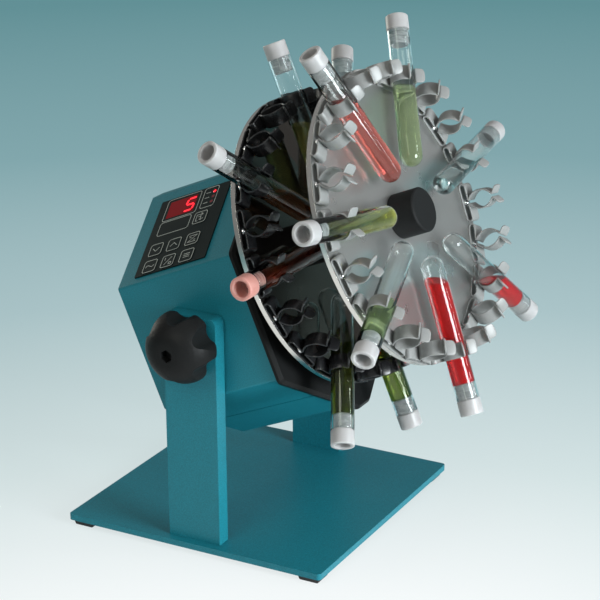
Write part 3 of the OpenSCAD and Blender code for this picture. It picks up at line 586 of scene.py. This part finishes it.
def moulded(node, name, body, *edge):
    """Softened piece of black moulding."""
    soften(node, name, body, black_moulding(), "black_plastic", *edge)


class Step:
    """One step of the dressing, which can be undone from the panel."""
    bl_options = {"REGISTER", "UNDO"}


# ---- Stage ----

# Each lamp: its name in the panel, place, what it faces, width and height in metres, and tone
LAMPS = (("key", (-0.42, -1.85, 0.5), (0, -0.05, 0.16), 0.75, 1.0, "cool"),
         ("streak", (0.62, -1.6, 0.65), (0, -0.05, 0.2), 0.1, 1.1, "cool"),
         ("side", (-1.5, 0.1, 1.2), (0, 0, 0.15), 0.7, 0.9, "warm"),
         ("back", (0.5, 1.9, 0.34), (0, 0, 0.15), 0.9, 0.45, "warm"),
         ("top", (-0.1, -0.2, 1.7), (0, 0, 0.1), 1.1, 1.1, "warm"))
# Where each tone of the floor is purest, as a share of the reach from the pool
FLOOR_TONES = (("floor_1", 0.13), ("floor_2", 0.228), ("floor_3", 0.375), ("floor_4", 0.6),
               ("floor_5", 0.985))
# Radii of the floor's rings, in metres
FLOOR_RINGS = (0, 0.5, 2, 12)
# Within the first distance, in metres, the floor partly takes the lamps' light. From the second
# on it only glows
FADE_START, FADE_END = 0.7, 1.4
GLOW_SHARE, NEAR_GLOW, FAR_GLOW = 0.8, 1.06, 0.985


def make_floor(s):
    """Flat pale floor whose tone deepens with distance from the object."""
    bm = bmesh.new()
    lathe(bm, [(r, 0) for r in FLOOR_RINGS], Matrix.Identity(4), 48, close=False)
    mesh = finished_mesh(bm, "floor")
    show("floor", mesh)
    material, tree, shader = new_material("floor_paper")
    mesh.materials.append(material)
    shader.inputs["Roughness"].default_value = 0.9
    shader.inputs["Specular IOR Level"].default_value = 0.0
    here = add(tree, "TexCoord", {})["Object"]
    away = add(tree, "VectorMath", {0: here, 1: s.pool}, operation="DISTANCE")["Value"]
    tone = add(tree, "ValToRGB", {"Fac": math_node(tree, "DIVIDE", away, s.reach)})["Color"]
    stops = tone.node.color_ramp.elements
    first, *between, last = ((where, (*getattr(s, name), 1)) for name, where in FLOOR_TONES)
    stops[0].position, stops[0].color = first
    stops[1].position, stops[1].color = last
    for where, colour in between:
        stops.new(where).color = colour
    tree.links.new(tone, shader.inputs["Base Color"])
    out = add(tree, "VectorMath", {0: here}, operation="LENGTH")["Value"]
    strength = map_node(tree, out, FADE_START, FADE_END, NEAR_GLOW, FAR_GLOW)
    glow = add(tree, "Emission", {"Color": tone, "Strength": strength})["Emission"]
    share = map_node(tree, out, FADE_START, FADE_END, GLOW_SHARE, 1.0)
    mix = where_seen(tree, ("Camera", "Glossy", "Transmission"), share, shader.outputs["BSDF"],
                     glow)
    tree.links.new(mix, tree.nodes["Material Output"].inputs["Surface"])


def where_seen(tree, rays, share, plain, seen):
    """Shows one shader, or a share of it, to some kinds of ray and another to the rest."""
    kinds = add(tree, "LightPath", {})
    fac = kinds[f"Is {rays[0]} Ray"]
    for ray in rays[1:]:
        fac = math_node(tree, "MAXIMUM", fac, kinds[f"Is {ray} Ray"])
    fac = math_node(tree, "MULTIPLY", fac, share)
    return add(tree, "MixShader", {"Fac": fac, 1: plain, 2: seen})["Shader"]


def even_light(s):
    """Soft light from all round, a little stronger from above. The camera sees the floor's
    darkest tone instead."""
    weakest, strongest = 0.75, 1.25
    world = bpy.data.worlds.new("even_light")
    bpy.context.scene.world = world
    world.use_nodes = True
    tree = world.node_tree
    up = add(tree, "SeparateXYZ", {"Vector": add(tree, "TexCoord", {})["Generated"]})["Z"]
    lift = map_node(tree, up, 0.0, 1.0, weakest, strongest)
    plain = tree.nodes["Background"]
    plain.inputs["Color"].default_value = (0.98, 0.99, 1.0, 1)
    tree.links.new(math_node(tree, "MULTIPLY", lift, s.fill), plain.inputs["Strength"])
    far_tone = (*(FAR_GLOW * part for part in s.floor_5), 1)
    far = add(tree, "Background", {"Color": far_tone})["Background"]
    mix = where_seen(tree, ("Camera", "Transmission"), 1.0, plain.outputs["Background"], far)
    tree.links.new(mix, tree.nodes["World Output"].inputs["Surface"])


def add_lamp(s, name, stand_at, aim, wide, tall, tone):
    """Oblong lamp turned towards a point."""
    light = bpy.data.lights.new(name + "_lamp", "AREA")
    light.color = getattr(s, tone)
    light.shape = "RECTANGLE"
    light.size = wide
    light.size_y = tall
    light.energy = getattr(s, name)
    obj = show(name + "_lamp", light)
    obj.location = stand_at
    obj.rotation_euler = (Vector(aim) - Vector(stand_at)).to_track_quat("-Z", "Y").to_euler()


def add_camera(s):
    """Camera turned by its azimuth and elevation, then rolled."""
    back = Vector((math.sin(s.azimuth) * math.cos(s.elevation),
                   -math.cos(s.azimuth) * math.cos(s.elevation), math.sin(s.elevation)))
    right = (-back).cross(Vector((0, 0, 1))).normalized()
    up = right.cross(-back)
    level = axes(Vector(s.camera_place), right, up, back)
    data = bpy.data.cameras.new("camera")
    data.lens = s.lens
    data.sensor_width = 36
    data.clip_start = 0.01
    data.clip_end = 50
    obj = show("camera", data)
    obj.matrix_world = level @ Matrix.Rotation(s.roll, 4, "Z")
    bpy.context.scene.camera = obj


class ROTATOR_OT_stage(Step, bpy.types.Operator):
    """Adds the floor, the even light, the lamps and the camera"""
    bl_idname = "rotator.stage"
    bl_label = "Stage"

    def execute(self, context):
        s = looks("stage")
        make_floor(s)
        even_light(s)
        for lamp in LAMPS:
            add_lamp(s, *lamp)
        add_camera(s)
        context.scene.view_settings.view_transform = "Standard"
        return {"FINISHED"}


# ---- Stand ----


def square_foot(s, corner, rubber):
    """Square rubber foot that narrows towards the bench."""
    soft = 0.5 * MM
    low, high = span("foot_" + corner, Matrix.Identity(4))
    middle = (low + high) / 2
    shift = [math.copysign(s.foot_shift, part) for part in middle.xy] + [0]
    bm = bmesh.new()
    bmesh.ops.create_cube(bm, size=1.0)
    for v in bm.verts:
        side = s.foot_w - (2 * s.foot_taper if v.co.z < 0 else 0)
        v.co = v.co * Vector((side, side, high.z - low.z)) + middle + Vector(shift)
    bmesh.ops.bevel(bm, geom=bm.edges[:], offset=soft, segments=2, affect="EDGES")
    make(bm, "rubber_foot_" + corner, "stand", rubber, "black_rubber", "foot_" + corner)


class ROTATOR_OT_stand(Step, bpy.types.Operator):
    """Dresses the base plate, the uprights and the feet"""
    bl_idname = "rotator.stand"
    bl_label = "Stand"

    def execute(self, context):
        s = looks("stand")
        painted("base_plate", "stand_plate", "stand", s.edge)
        for side in ("left", "right"):
            painted("upright_" + side, "post_" + side, "stand", s.edge)
        rubber = finish("foot_rubber", s.rubber, 0.62, 0.8, grain=0.5, relief=0.02)
        for corner in ("front_left", "front_right", "rear_left", "rear_right"):
            square_foot(s, corner, rubber)
        dress("foot_screws", steel())
        dress("upright_screws", steel())
        return {"FINISHED"}


# ---- Housing and clamp ----


class ROTATOR_OT_housing(Step, bpy.types.Operator):
    """Dresses the housing, its back panel and its front plate"""
    bl_idname = "rotator.housing"
    bl_label = "Housing"

    def execute(self, context):
        edge = looks("stand").edge
        painted("housing_upper", "shell_top", "head", edge, 3)
        painted("housing_lower", "shell_bottom", "head", edge, 3)
        painted("rear_panel", "back_panel", "head", 0.3 * MM)
        soften("front_plate", "bevelled_plate", "head", black_paint(), "black_plastic", 0.35 * MM)
        dress("rear_panel_screws", steel())
        return {"FINISHED"}


class ROTATOR_OT_clamp(Step, bpy.types.Operator):
    """Dresses the star knobs, studs and washers of the tilt clamp"""
    bl_idname = "rotator.clamp"
    bl_label = "Tilt clamp"

    def execute(self, context):
        fibre = finish("grey_fibre", (0.07, 0.07, 0.072), 0.7, 0.85, grain=0.7, speckle=0.25)
        for side in ("left", "right"):
            moulded("star_knob_" + side, "knob_" + side, "knob_" + side, 1.0 * MM, 3, 25)
            dress("clamp_stud_" + side, steel())
            dress("pivot_boss_" + side, steel())
            dress("friction_washer_" + side, fibre)
        return {"FINISHED"}


# ---- Keypad ----

# All sizes and places in mm on the slope. A box has a width, a height and a corner radius
COLUMNS = (-22.9, -8.8, 5.6)
ROWS = (11.2, 25.0, 43.0)
KEY_BOX = (9.6, 9.6, 1.6)
# Column and row of each key
KEYS = {"key_wave": (0, 0), "key_start": (1, 0), "key_set": (2, 0), "key_down": (0, 1),
        "key_up": (1, 1), "key_turn": (2, 1), "key_repeat": (2, 2)}
# Middle and box of the display, the bare field and the lights
BOXES = ((-14.0, 59.25, 26.4, 18.6, 1.8), (-15.0, 43.1, 24.4, 11.4, 2.0),
         (7.4, 59.95, 10.8, 17.3, 1.8))
LIGHT_ROWS = (55.4, 59.8, 64.2)
LIGHT_COLUMN = 10.2
LABEL_ENDS = (3.6, 7.2)
PANE_COLUMNS = (-24.9, -3.3)
PANE_ROWS = (51.9, 66.3)
FILM = 0.05
# Middle, width and height of the lit digit, and its bars by their usual letters
DIGIT, DIGIT_SIZE, DIGIT_BARS = (-7.4, 58.9), (6.4, 10.2), "afgcd"
# Lines of each symbol, from the middle of its key
SYMBOLS = {
    "key_down": ([(-2.6, 1.3), (0, -1.3), (2.6, 1.3)],),
    "key_up": ([(-2.6, -1.3), (0, 1.3), (2.6, -1.3)],),
    "key_wave": ([(-3.2, -0.7), (-2.6, 0.3), (-1.7, 0.8), (-0.7, 0.4), (0.7, -0.4), (1.7, -0.8),
                  (2.6, -0.3), (3.2, 0.7)],),
    "key_turn": ([(-3, 2.6), (3, 2.6), (-3, -2.6), (3, -2.6)], [(-2.6, 1.2), (-1, 1.2)],
                 [(1, -1.2), (2.6, -1.2)]),
    "key_start": ([(-2.6, 0.9), (-2.6, 3.1)], [(-2.4, -2.8), (2.4, 2.8)],
                  [(1.2, -1.5), (1.2, -3.0), (2.9, -3.0), (2.9, -1.5), (1.2, -1.5)]),
    "key_set": ([(-2.4, 1.4), (2.4, 1.4)], [(-2.4, 0), (2.4, 0)], [(-2.4, -1.4), (2.4, -1.4)]),
    "key_repeat": ([(-1.2, -2.8), (-2.8, -2.8), (-2.8, 2.4), (1.6, 2.4)],
                   [(0.2, 3.6), (1.8, 2.4), (0.2, 1.2)],
                   [(-1.4, 0.6), (0.6, 0.6), (0.6, -1.6), (2.8, -1.6)],
                   [(1.4, -2.8), (-0.4, -1.6)]),
}


def ribbon(bm, s, points, height, closed):
    """Printed line of even width along points in mm on the slope."""
    sharpest = 0.4
    pts = [Vector(p) * MM for p in (points[:-1] if closed else points)]
    n = len(pts)
    sides = []
    for i, p in enumerate(pts):
        before = (p - pts[i - 1]).normalized() if closed or i else None
        after = (pts[(i + 1) % n] - p).normalized() if closed or i < n - 1 else None
        a, b = before or after, after or before
        normal = Vector((-a.y - b.y, a.x + b.x)).normalized()
        reach = s.line / 2 / max(normal.dot(Vector((-a.y, a.x))), sharpest)
        sides.append((p + normal * reach, p - normal * reach))
    slab(bm, sides, height, s.print_height, closed)


def slab(bm, sides, height, thick, closed):
    """Flat strip with a top and sides between pairs of edge points."""
    low, high = height, height + thick
    rings = []
    for left, right in sides:
        corners = ((left, low), (left, high), (right, high), (right, low))
        rings.append([bm.verts.new(SLOPE @ Vector((*point, z))) for point, z in corners])
    solid_bar(bm, rings, closed)


def outline(bm, s, cx, cy, wide, tall, r, height):
    """Printed outline with rounded corners."""
    points = rounded_box(cx, cy, wide, tall, r, 6)
    ribbon(bm, s, points + points[:1], height, True)


def print_digit(bm, height):
    """Slanted seven-segment digit with bevelled segments."""
    wide, lean, gap = 1.5, 0.16, 0.25
    cx, cy = DIGIT
    x, y = (side / 2 for side in DIGIT_SIZE)
    ends = {"a": ((-x, y), (x, y)), "b": ((x, y), (x, 0)), "c": ((x, 0), (x, -y)),
            "d": ((-x, -y), (x, -y)), "e": ((-x, 0), (-x, -y)), "f": ((-x, y), (-x, 0)),
            "g": ((-x, 0), (x, 0))}
    for name in DIGIT_BARS:
        p, q = (Vector(e) for e in ends[name])
        along = (q - p).normalized()
        across = Vector((-along.y, along.x)) * wide / 2
        p, q = p + along * gap, q - along * gap
        near, far = p + along * wide / 2, q - along * wide / 2
        corners = (p, near + across, far + across, q, far - across, near - across)
        flat = [Vector((cx + c.x + lean * c.y, cy + c.y)) * MM for c in corners]
        rings = [[bm.verts.new(SLOPE @ Vector((*point, z))) for point in flat]
                 for z in (height, height + FILM * MM)]
        solid_bar(bm, rings, False)


def dress_keys(s, skin, ink):
    """Seven keys, each with a printed outline and symbol that travel with it."""
    top = span("key_down", SLOPE)[1].z
    for key, (column, row) in KEYS.items():
        body = key + "_body"
        soften(key, "cap_of_" + key, body, skin, "membrane", 0.2 * MM)
        bm = bmesh.new()
        cx, cy = COLUMNS[column], ROWS[row]
        outline(bm, s, cx, cy, *KEY_BOX, top)
        for line in SYMBOLS[key]:
            points = [(cx + x, cy + y) for x, y in line]
            ribbon(bm, s, points, top, points[0] == points[-1])
        make(bm, "print_of_" + key, body, ink, "membrane")


def print_overlay(s, ink):
    """Printed boxes and label lines that stay on the overlay."""
    top = span("keypad_overlay", SLOPE)[1].z
    bm = bmesh.new()
    for box in BOXES:
        outline(bm, s, *box, top)
    for row in LIGHT_ROWS:
        ribbon(bm, s, [(x, row) for x in LABEL_ENDS], top, False)
    make(bm, "overlay_print", "head", ink, "membrane")


def light_display(s, skin):
    """Window with a thin pane, a lit digit on it and the one lit lamp. The pane glows evenly in its
    own dark red: painted glow.
    """
    # The pane emits its own dark red evenly: painted glow, since the window is not a lamp.
    window = finish("red_window", s.window, 0.10, 0.16, grain=0.3, speckle=0.1, relief=0.002,
                    Specular_IOR_Level=0.1, Emission_Color=(*s.window, 1), Emission_Strength=1.0)
    lit = finish("lit_segments", s.glow, 0.3, 0.4, speckle=0.02, relief=0.0,
                 Emission_Color=(*s.glow, 1), Emission_Strength=s.glow_strength)
    soften("display_window", "window_surround", "head", skin, "red_window", 0.1 * MM)
    top = span("display_window", SLOPE)[1].z
    film = FILM * MM
    bm = bmesh.new()
    edges = [[Vector((x, y)) * MM for x in PANE_COLUMNS] for y in PANE_ROWS]
    slab(bm, edges, top, film, False)
    make(bm, "display_pane", "head", window, "red_window")
    bm = bmesh.new()
    print_digit(bm, top + film)
    make(bm, "display_digit", "head", lit, "red_led")
    dress("indicator_leds", finish("red_lens", (0.16, 0.008, 0.01), 0.15, 0.25, speckle=0.05,
                                   relief=0.002, Coat_Weight=0.5))
    top = span("indicator_leds", SLOPE)[1].z / MM
    dome = [(0, 0.35), (0.7, 0.28), (1.1, 0.05), (1.15, 0)]
    middle = SLOPE @ Matrix.Translation((LIGHT_COLUMN * MM, LIGHT_ROWS[-1] * MM, 0))
    bm = bmesh.new()
    lathe(bm, [(r * MM, (top + z) * MM) for r, z in dome], middle, 24)
    make(bm, "lit_lamp", "head", lit, "red_led")


class ROTATOR_OT_keypad(Step, bpy.types.Operator):
    """Dresses the keypad and prints its outlines, symbols and lit display"""
    bl_idname = "rotator.keypad"
    bl_label = "Keypad"

    def execute(self, context):
        s = looks("keypad")
        skin = finish("membrane", s.membrane, 0.34, 0.44, grain=0.25, speckle=0.12, relief=0.006,
                      Specular_IOR_Level=0.09)
        ink = finish("print_grey", s.print_colour, 0.4, 0.5, grain=0.3, speckle=0.08, relief=0.004)
        soften("keypad_overlay", "overlay", "head", skin, "membrane", 0.15 * MM)
        dress_keys(s, skin, ink)
        print_overlay(s, ink)
        light_display(s, skin)
        dress("display_module", black_moulding())
        dress("control_board", finish("circuit_green", (0.01, 0.11, 0.045), 0.3, 0.45, speckle=0.2))
        return {"FINISHED"}


# ---- Inlet and drive ----


class ROTATOR_OT_inlet(Step, bpy.types.Operator):
    """Dresses the mains inlet and the power switch"""
    bl_idname = "rotator.inlet"
    bl_label = "Inlet and switch"

    def execute(self, context):
        moulded("mains_inlet", "inlet_body", "head", 0.4 * MM)
        moulded("switch_frame", "switch_surround", "head", 0.3 * MM)
        moulded("switch_rocker", "rocker_cap", "rocker", 0.3 * MM)
        dress("inlet_pins", chrome())
        return {"FINISHED"}


class ROTATOR_OT_drive(Step, bpy.types.Operator):
    """Dresses the motor, the gearbox and the supply inside the housing"""
    bl_idname = "rotator.drive"
    bl_label = "Drive"

    def execute(self, context):
        iron = finish("core_iron", (0.12, 0.12, 0.125), 0.4, 0.6, grain=0.9, speckle=0.2,
                      Metallic=0.8)
        for node in ("chassis_plate", "motor_plate", "motor_screws", "gearbox", "motor"):
            dress(node, steel())
        dress("power_supply", iron)
        dress("front_bearing", finish("bronze", (0.42, 0.25, 0.09), 0.3, 0.42, grain=0.7,
                                      Metallic=1.0))
        return {"FINISHED"}


# ---- Discs and hub ----


def mark_rim(mesh):
    """Gives the rim's faces the second finish."""
    middle = HEAD @ Vector((0, RISE, 0))
    inner, facing_out = 0.99 * DISC_R, 0.3
    for face in mesh.polygons:
        out = face.center - middle
        out -= AXIS * out.dot(AXIS)
        if out.length > inner and face.normal.dot(out.normalized()) > facing_out:
            face.material_index = 1


class ROTATOR_OT_discs(Step, bpy.types.Operator):
    """Dresses the two discs, the shaft, the spacer and the hub"""
    bl_idname = "rotator.discs"
    bl_label = "Discs and hub"

    def execute(self, context):
        s = looks("discs")
        satin = finish("satin_disc", s.front, 0.26, 0.34, grain=0.5, speckle=0.04, relief=0.004,
                       patch=30, Metallic=0.9)
        dark = finish("dark_mirror", s.rear, 0.03, 0.07, grain=0.5, speckle=0.05, relief=0.001,
                      patch=35, IOR=1.8, Specular_Tint=(1.0, 0.88, 0.7, 1),
                      Coat_Weight=0.25, Coat_Roughness=0.03)
        rim = finish("turned_rim", s.rim, 0.18, 0.28, grain=0.4, speckle=0.04, relief=0.006,
                     patch=10, Metallic=1.0)
        for node, name, face in (("front_disc", "satin_plate", satin),
                                 ("rear_disc", "dark_plate", dark)):
            disc = soften(node, name, "rotor", face, "polished_aluminium", s.edge)
            disc.data.materials.append(rim)
            mark_rim(disc.data)
        dress("drive_shaft", steel())
        soften("rear_hub", "hub_flange", "rotor", steel(), "steel", 0.4 * MM)
        moulded("spacer", "hub_spacer", "rotor", 0.3 * MM)
        hub = finish("hub_black", looks("stand").moulding, 0.5, 0.6, grain=0.5, speckle=0.1,
                     relief=0.02, Specular_IOR_Level=0.12)
        soften("hub_knob", "hub_grip", "rotor", hub, "black_plastic", 0.3 * MM)
        return {"FINISHED"}


# ---- Spring clips ----

# From the clip's middle to the arm's middle line: foot and mouth of a clip that holds a tube, and
# mouth of a relaxed one
HELD_FOOT, HELD_MOUTH, RELAXED_MOUTH = 1.5 * MM, 3.6 * MM, 0.9 * MM
PLAY = 0.05 * MM
# Easing of the bends: spacing of the points, and how many times they are averaged
POINT_GAP, EASE_ROUNDS = 0.35 * MM, 5
# A point is kept wherever the line has turned or run on this far, and all near the ends
KEPT_TURN, KEPT_LENGTH, KEPT_END = math.radians(7), 4 * MM, 3 * MM


def clip_line(s, held):
    """Middle line of the strip as (x, z) points, from one tab's end to the other's."""
    t = s.strip_t
    bend = s.base_h / 2
    bend_at = s.base_l / 2 - bend
    half = [(0, t / 2)] + arc(bend_at, bend, bend - t / 2, -90, 90, 12)
    if held:
        r = looks("tubes").glass_d / 2 + t / 2 + PLAY
        half.append((HELD_FOOT, s.base_h - t / 2))
        half += arc(0, TUBE_RISE, r, -math.degrees(math.acos(HELD_FOOT / r)),
                    math.degrees(math.acos(HELD_MOUTH / r)), 30)
    else:
        reach = s.arm_h / 2
        r = (reach * reach + s.bulge * s.bulge) / (2 * s.bulge)
        swing = math.degrees(math.asin(reach / r))
        half += arc(RELAXED_MOUTH + s.bulge - r, s.base_h + reach - t / 2, r, -swing, swing, 30)
    x, z = half[-1]
    half.append((x + s.tab_l * math.sin(s.tab_angle), z + s.tab_l * math.cos(s.tab_angle)))
    line = [(-px, pz) for px, pz in reversed(half[1:])] + half
    return eased([Vector(p) for p in line])


def eased(line):
    """Evenly spaced points with the corners of the line bent to small radii."""
    even = [line[0]]
    for a, b in zip(line, line[1:]):
        count = max(1, round((b - a).length / POINT_GAP))
        even += [a.lerp(b, (i + 1) / count) for i in range(count)]
    inner = range(1, len(even) - 1)
    for _ in range(EASE_ROUNDS):
        middle = [(even[i - 1] + 2 * even[i] + even[i + 1]) / 4 for i in inner]
        even = [even[0]] + middle + [even[-1]]
    kept, turned = [even[0]], 0.0
    for i in inner:
        turned += (even[i] - even[i - 1]).angle(even[i + 1] - even[i], 0.0)
        near_end = min(i, len(even) - 1 - i) * POINT_GAP < KEPT_END
        far_on = (even[i] - kept[-1]).length > KEPT_LENGTH
        if turned > KEPT_TURN or near_end or far_on:
            kept.append(even[i])
            turned = 0.0
    return kept + [even[-1]]


def sweep_strip(bm, s, line, seat):
    """Rounded strip swept along the line, with rounded corners at its ends."""
    lengths = [0.0]
    for a, b in zip(line, line[1:]):
        lengths.append(lengths[-1] + (b - a).length)
    soft = 0.42 * s.strip_t
    rings = []
    for i, p in enumerate(line):
        along = (line[min(i + 1, len(line) - 1)] - line[max(i - 1, 0)]).normalized()
        normal = Vector((-along.y, along.x))
        inset = max(s.tab_r - min(lengths[i], lengths[-1] - lengths[i]), 0)
        half = s.strip_w / 2 - s.tab_r + math.sqrt(max(s.tab_r ** 2 - inset ** 2, 0))
        section = rounded_box(0, 0, s.strip_t, 2 * half, min(soft, half / 2), 3)
        rings.append([bm.verts.new(seat @ Vector((p.x + normal.x * u, w, p.y + normal.y * u)))
                      for u, w in section])
    solid_bar(bm, rings, False)


class ROTATOR_OT_clips(Step, bpy.types.Operator):
    """Bends the spring clips of both discs from flat strip"""
    bl_idname = "rotator.clips"
    bl_label = "Spring clips"

    def execute(self, context):
        s = looks("clips")
        grey = finish("grey_clip_coat", s.front, 0.30, 0.40, grain=0.5, speckle=0.05, relief=0.008,
                      patch=12)
        black = finish("black_clip_coat", s.rear, 0.22, 0.32, grain=0.5, speckle=0.1, relief=0.006,
                       patch=12)
        coats = ((black, "black_clip"), (grey, "grey_clip"))
        relaxed, held = clip_line(s, False), clip_line(s, True)
        for (rack, face, offset, tubes), (coat, look) in zip(RACKS, coats):
            taken = {tube[0] for tube in tubes}
            bm = bmesh.new()
            for slot in range(CLIP_COUNT):
                seat = slot_frame(face, slot, offset) @ Matrix.Translation((0, CLIP_CIRCLE, 0))
                sweep_strip(bm, s, held if slot in taken else relaxed, seat)
            make(bm, rack + "_spring_clips", "rotor", coat, look, rack + "_clips", smooth=50)
            dress(rack + "_clip_screws", chrome())
        return {"FINISHED"}


# ---- Tubes and caps ----

# The liquid that has stained its own cap
STAINING = "rust"


def tube_profile(s):
    """Round-ended tube with a fire-polished lip."""
    r, t = s.glass_d / 2, s.glass_wall
    outside = arc(0, r, r, -90, 0, 16)
    lip = arc(r - t / 2, s.glass_length - t / 2, t / 2, 0, 180, 6)
    inside = arc(0, r, r - t, 0, -90, 14)
    return [(0.0, 0.0)] + outside[1:] + lip + inside[:-1] + [(0.0, t)]


def cap_profile(s):
    """Hollow grip over a plug with sealing ribs, and a ring moulded in the recess."""
    bore = s.glass_d / 2 - s.glass_wall
    r, z = s.cap_d / 2, s.glass_length
    top, start = z + s.cap_length, z - s.plug_length
    recess, cup = r - s.cap_wall, bore - s.cap_wall / 2
    soft, small, web, ring_high = 0.6 * MM, 0.4 * MM, 0.5 * MM, 0.5 * MM
    fit, valley, mouth = bore - 0.04 * MM, bore - 0.3 * MM, bore - 0.6 * MM
    ribs, rib_foot, rib_top = 3, 0.7 * MM, 0.4 * MM
    shaft = []
    for i in range(ribs):
        middle = start + s.plug_length * (i + 0.5) / ribs
        shaft += [(valley, middle - rib_foot), (fit, middle - rib_top),
                  (fit, middle + rib_top), (valley, middle + rib_foot)]
    plug = [(0.0, z - MM), (cup, z - MM), (cup, start), (mouth, start)] + shaft
    seat = z + 0.05 * MM
    grip = [(valley, seat), (r - 0.3 * MM, seat), (r, z + small)]
    rim = (arc(r - soft, top - soft, soft, 0, 90, 4)
           + arc(recess + soft, top - soft, soft, 90, 180, 4))
    floor = z + web
    inside = [(recess, floor + small), (recess - small, floor)]
    raised = floor + ring_high
    ring = [(recess * share, height) for share, height in
            ((0.62, floor), (0.58, raised), (0.50, raised), (0.46, floor))]
    return plug + grip + rim + inside + ring + [(0.0, floor)]


class ROTATOR_OT_tubes(Step, bpy.types.Operator):
    """Adds the test tubes and their push caps"""
    bl_idname = "rotator.tubes"
    bl_label = "Tubes and caps"

    def execute(self, context):
        s = looks("tubes")
        glass = finish("clear_glass", (0.97, 0.98, 0.975), 0.0, 0.012, grain=20, speckle=0.005,
                       relief=0.0002, patch=10, Transmission_Weight=1.0, IOR=1.12, Coat_Weight=0.8,
                       Coat_Roughness=0.02)
        skin = dict(grain=0.4, relief=0.004, patch=6, Subsurface_Weight=1.0,
                    Subsurface_Radius=(1, 1, 1), Subsurface_Scale=0.007)
        white = finish("cap_white", s.cap, 0.32, 0.42, speckle=0.02, **skin)
        rosy = finish("cap_stained", s.stained, 0.32, 0.42, speckle=0.04, **skin)
        for rack, face, offset, tubes in RACKS:
            ware, lids, stained = bmesh.new(), bmesh.new(), bmesh.new()
            for slot, cap_end, *_, colour in tubes:
                seat = tube_frame(face, offset, slot, cap_end, s)
                lathe(ware, tube_profile(s), seat, s.steps)
                lathe(stained if colour == STAINING else lids, cap_profile(s), seat, s.steps)
            if stained.verts:
                make(stained, "stained_push_cap", "rotor", rosy, "white_cap", rack + "_caps",
                     smooth=30)
            make(ware, rack + "_glassware", "rotor", glass, "clear_glass", rack + "_tubes",
                 smooth=40)
            make(lids, rack + "_push_caps", "rotor", white, "white_cap", rack + "_caps", smooth=30)
        return {"FINISHED"}


# ---- Liquids ----

# Share of the light that goes through a liquid, where it isn't the usual one
CLEARNESS = {"water": 1.0, "cherry": 0.55, "scarlet": 0.7, "rust": 0.8, "straw": 0.8, "tea": 0.8}
USUAL = 0.92


def filling(s, seat, level):
    """Inside of a tube up to a level surface, run a little into the glass to show no gap."""
    sink, weld = 0.04 * MM, 1e-7
    r = s.glass_d / 2 - s.glass_wall + sink
    tip = s.glass_wall - sink
    end = s.glass_length - s.plug_length
    profile = [(0.0, tip)] + arc(0, tip + r, r, -90, 0, 14)[1:] + [(r, end), (0.0, end)]
    bm = bmesh.new()
    lathe(bm, profile, seat, s.steps, close=False)
    bmesh.ops.remove_doubles(bm, verts=bm.verts, dist=weld)
    bmesh.ops.bisect_plane(bm, geom=bm.verts[:] + bm.edges[:] + bm.faces[:],
                           plane_co=(0, 0, level), plane_no=(0, 0, 1), clear_outer=True)
    rim = [e for e in bm.edges if e.is_boundary]
    if rim:
        bmesh.ops.contextual_create(bm, geom=rim)
    return bm


class ROTATOR_OT_liquids(Step, bpy.types.Operator):
    """Fills the tubes to level surfaces"""
    bl_idname = "rotator.liquids"
    bl_label = "Liquids"

    def execute(self, context):
        s = looks("tubes")
        for rack, face, offset, tubes in RACKS:
            for slot, cap_end, mark, lift, colour in tubes:
                seat = tube_frame(face, offset, slot, cap_end, s)
                level = (seat @ Vector((0, 0, mark * MM))).z + lift * MM
                clear = CLEARNESS.get(colour, USUAL)
                fluid = finish("liquid_" + colour, getattr(s, colour), 0.0, 0.01, grain=6,
                               speckle=0.03, relief=0.0, Transmission_Weight=clear, IOR=1.2)
                make(filling(s, seat, level), f"{rack}_liquid_{slot}", "rotor", fluid,
                     "liquid", "tube_liquids", smooth=40)
        return {"FINISHED"}


PIECES = (ROTATOR_OT_stage, ROTATOR_OT_stand, ROTATOR_OT_housing, ROTATOR_OT_clamp,
          ROTATOR_OT_keypad, ROTATOR_OT_inlet, ROTATOR_OT_drive, ROTATOR_OT_discs,
          ROTATOR_OT_clips, ROTATOR_OT_tubes, ROTATOR_OT_liquids)


class ROTATOR_PT_panel(bpy.types.Panel):
    """Lists the pieces and their sizes and colours"""
    bl_idname = "ROTATOR_PT_panel"
    bl_label = "Tube rotator"
    bl_space_type = "VIEW_3D"
    bl_region_type = "UI"
    bl_category = "Rotator"

    def draw(self, context):
        column = self.layout.column(align=True)
        for piece in PIECES:
            column.operator(piece.bl_idname)
        for part, group in LOOKS.items():
            box = self.layout.box()
            box.label(text=part.capitalize())
            for label in group.__annotations__:
                box.prop(looks(part), label)


CLASSES = (*LOOKS.values(), *PIECES, ROTATOR_PT_panel)


def register():
    for kind in CLASSES:
        bpy.utils.register_class(kind)
    for part, group in LOOKS.items():
        setattr(bpy.types.Scene, "rotator_" + part, PointerProperty(type=group))


def unregister():
    for part in LOOKS:
        delattr(bpy.types.Scene, "rotator_" + part)
    for kind in reversed(CLASSES):
        bpy.utils.unregister_class(kind)


def main():
    register()
    for piece in PIECES:
        area, name = piece.bl_idname.split(".")
        getattr(getattr(bpy.ops, area), name)()


if __name__ == "__main__":
    main()
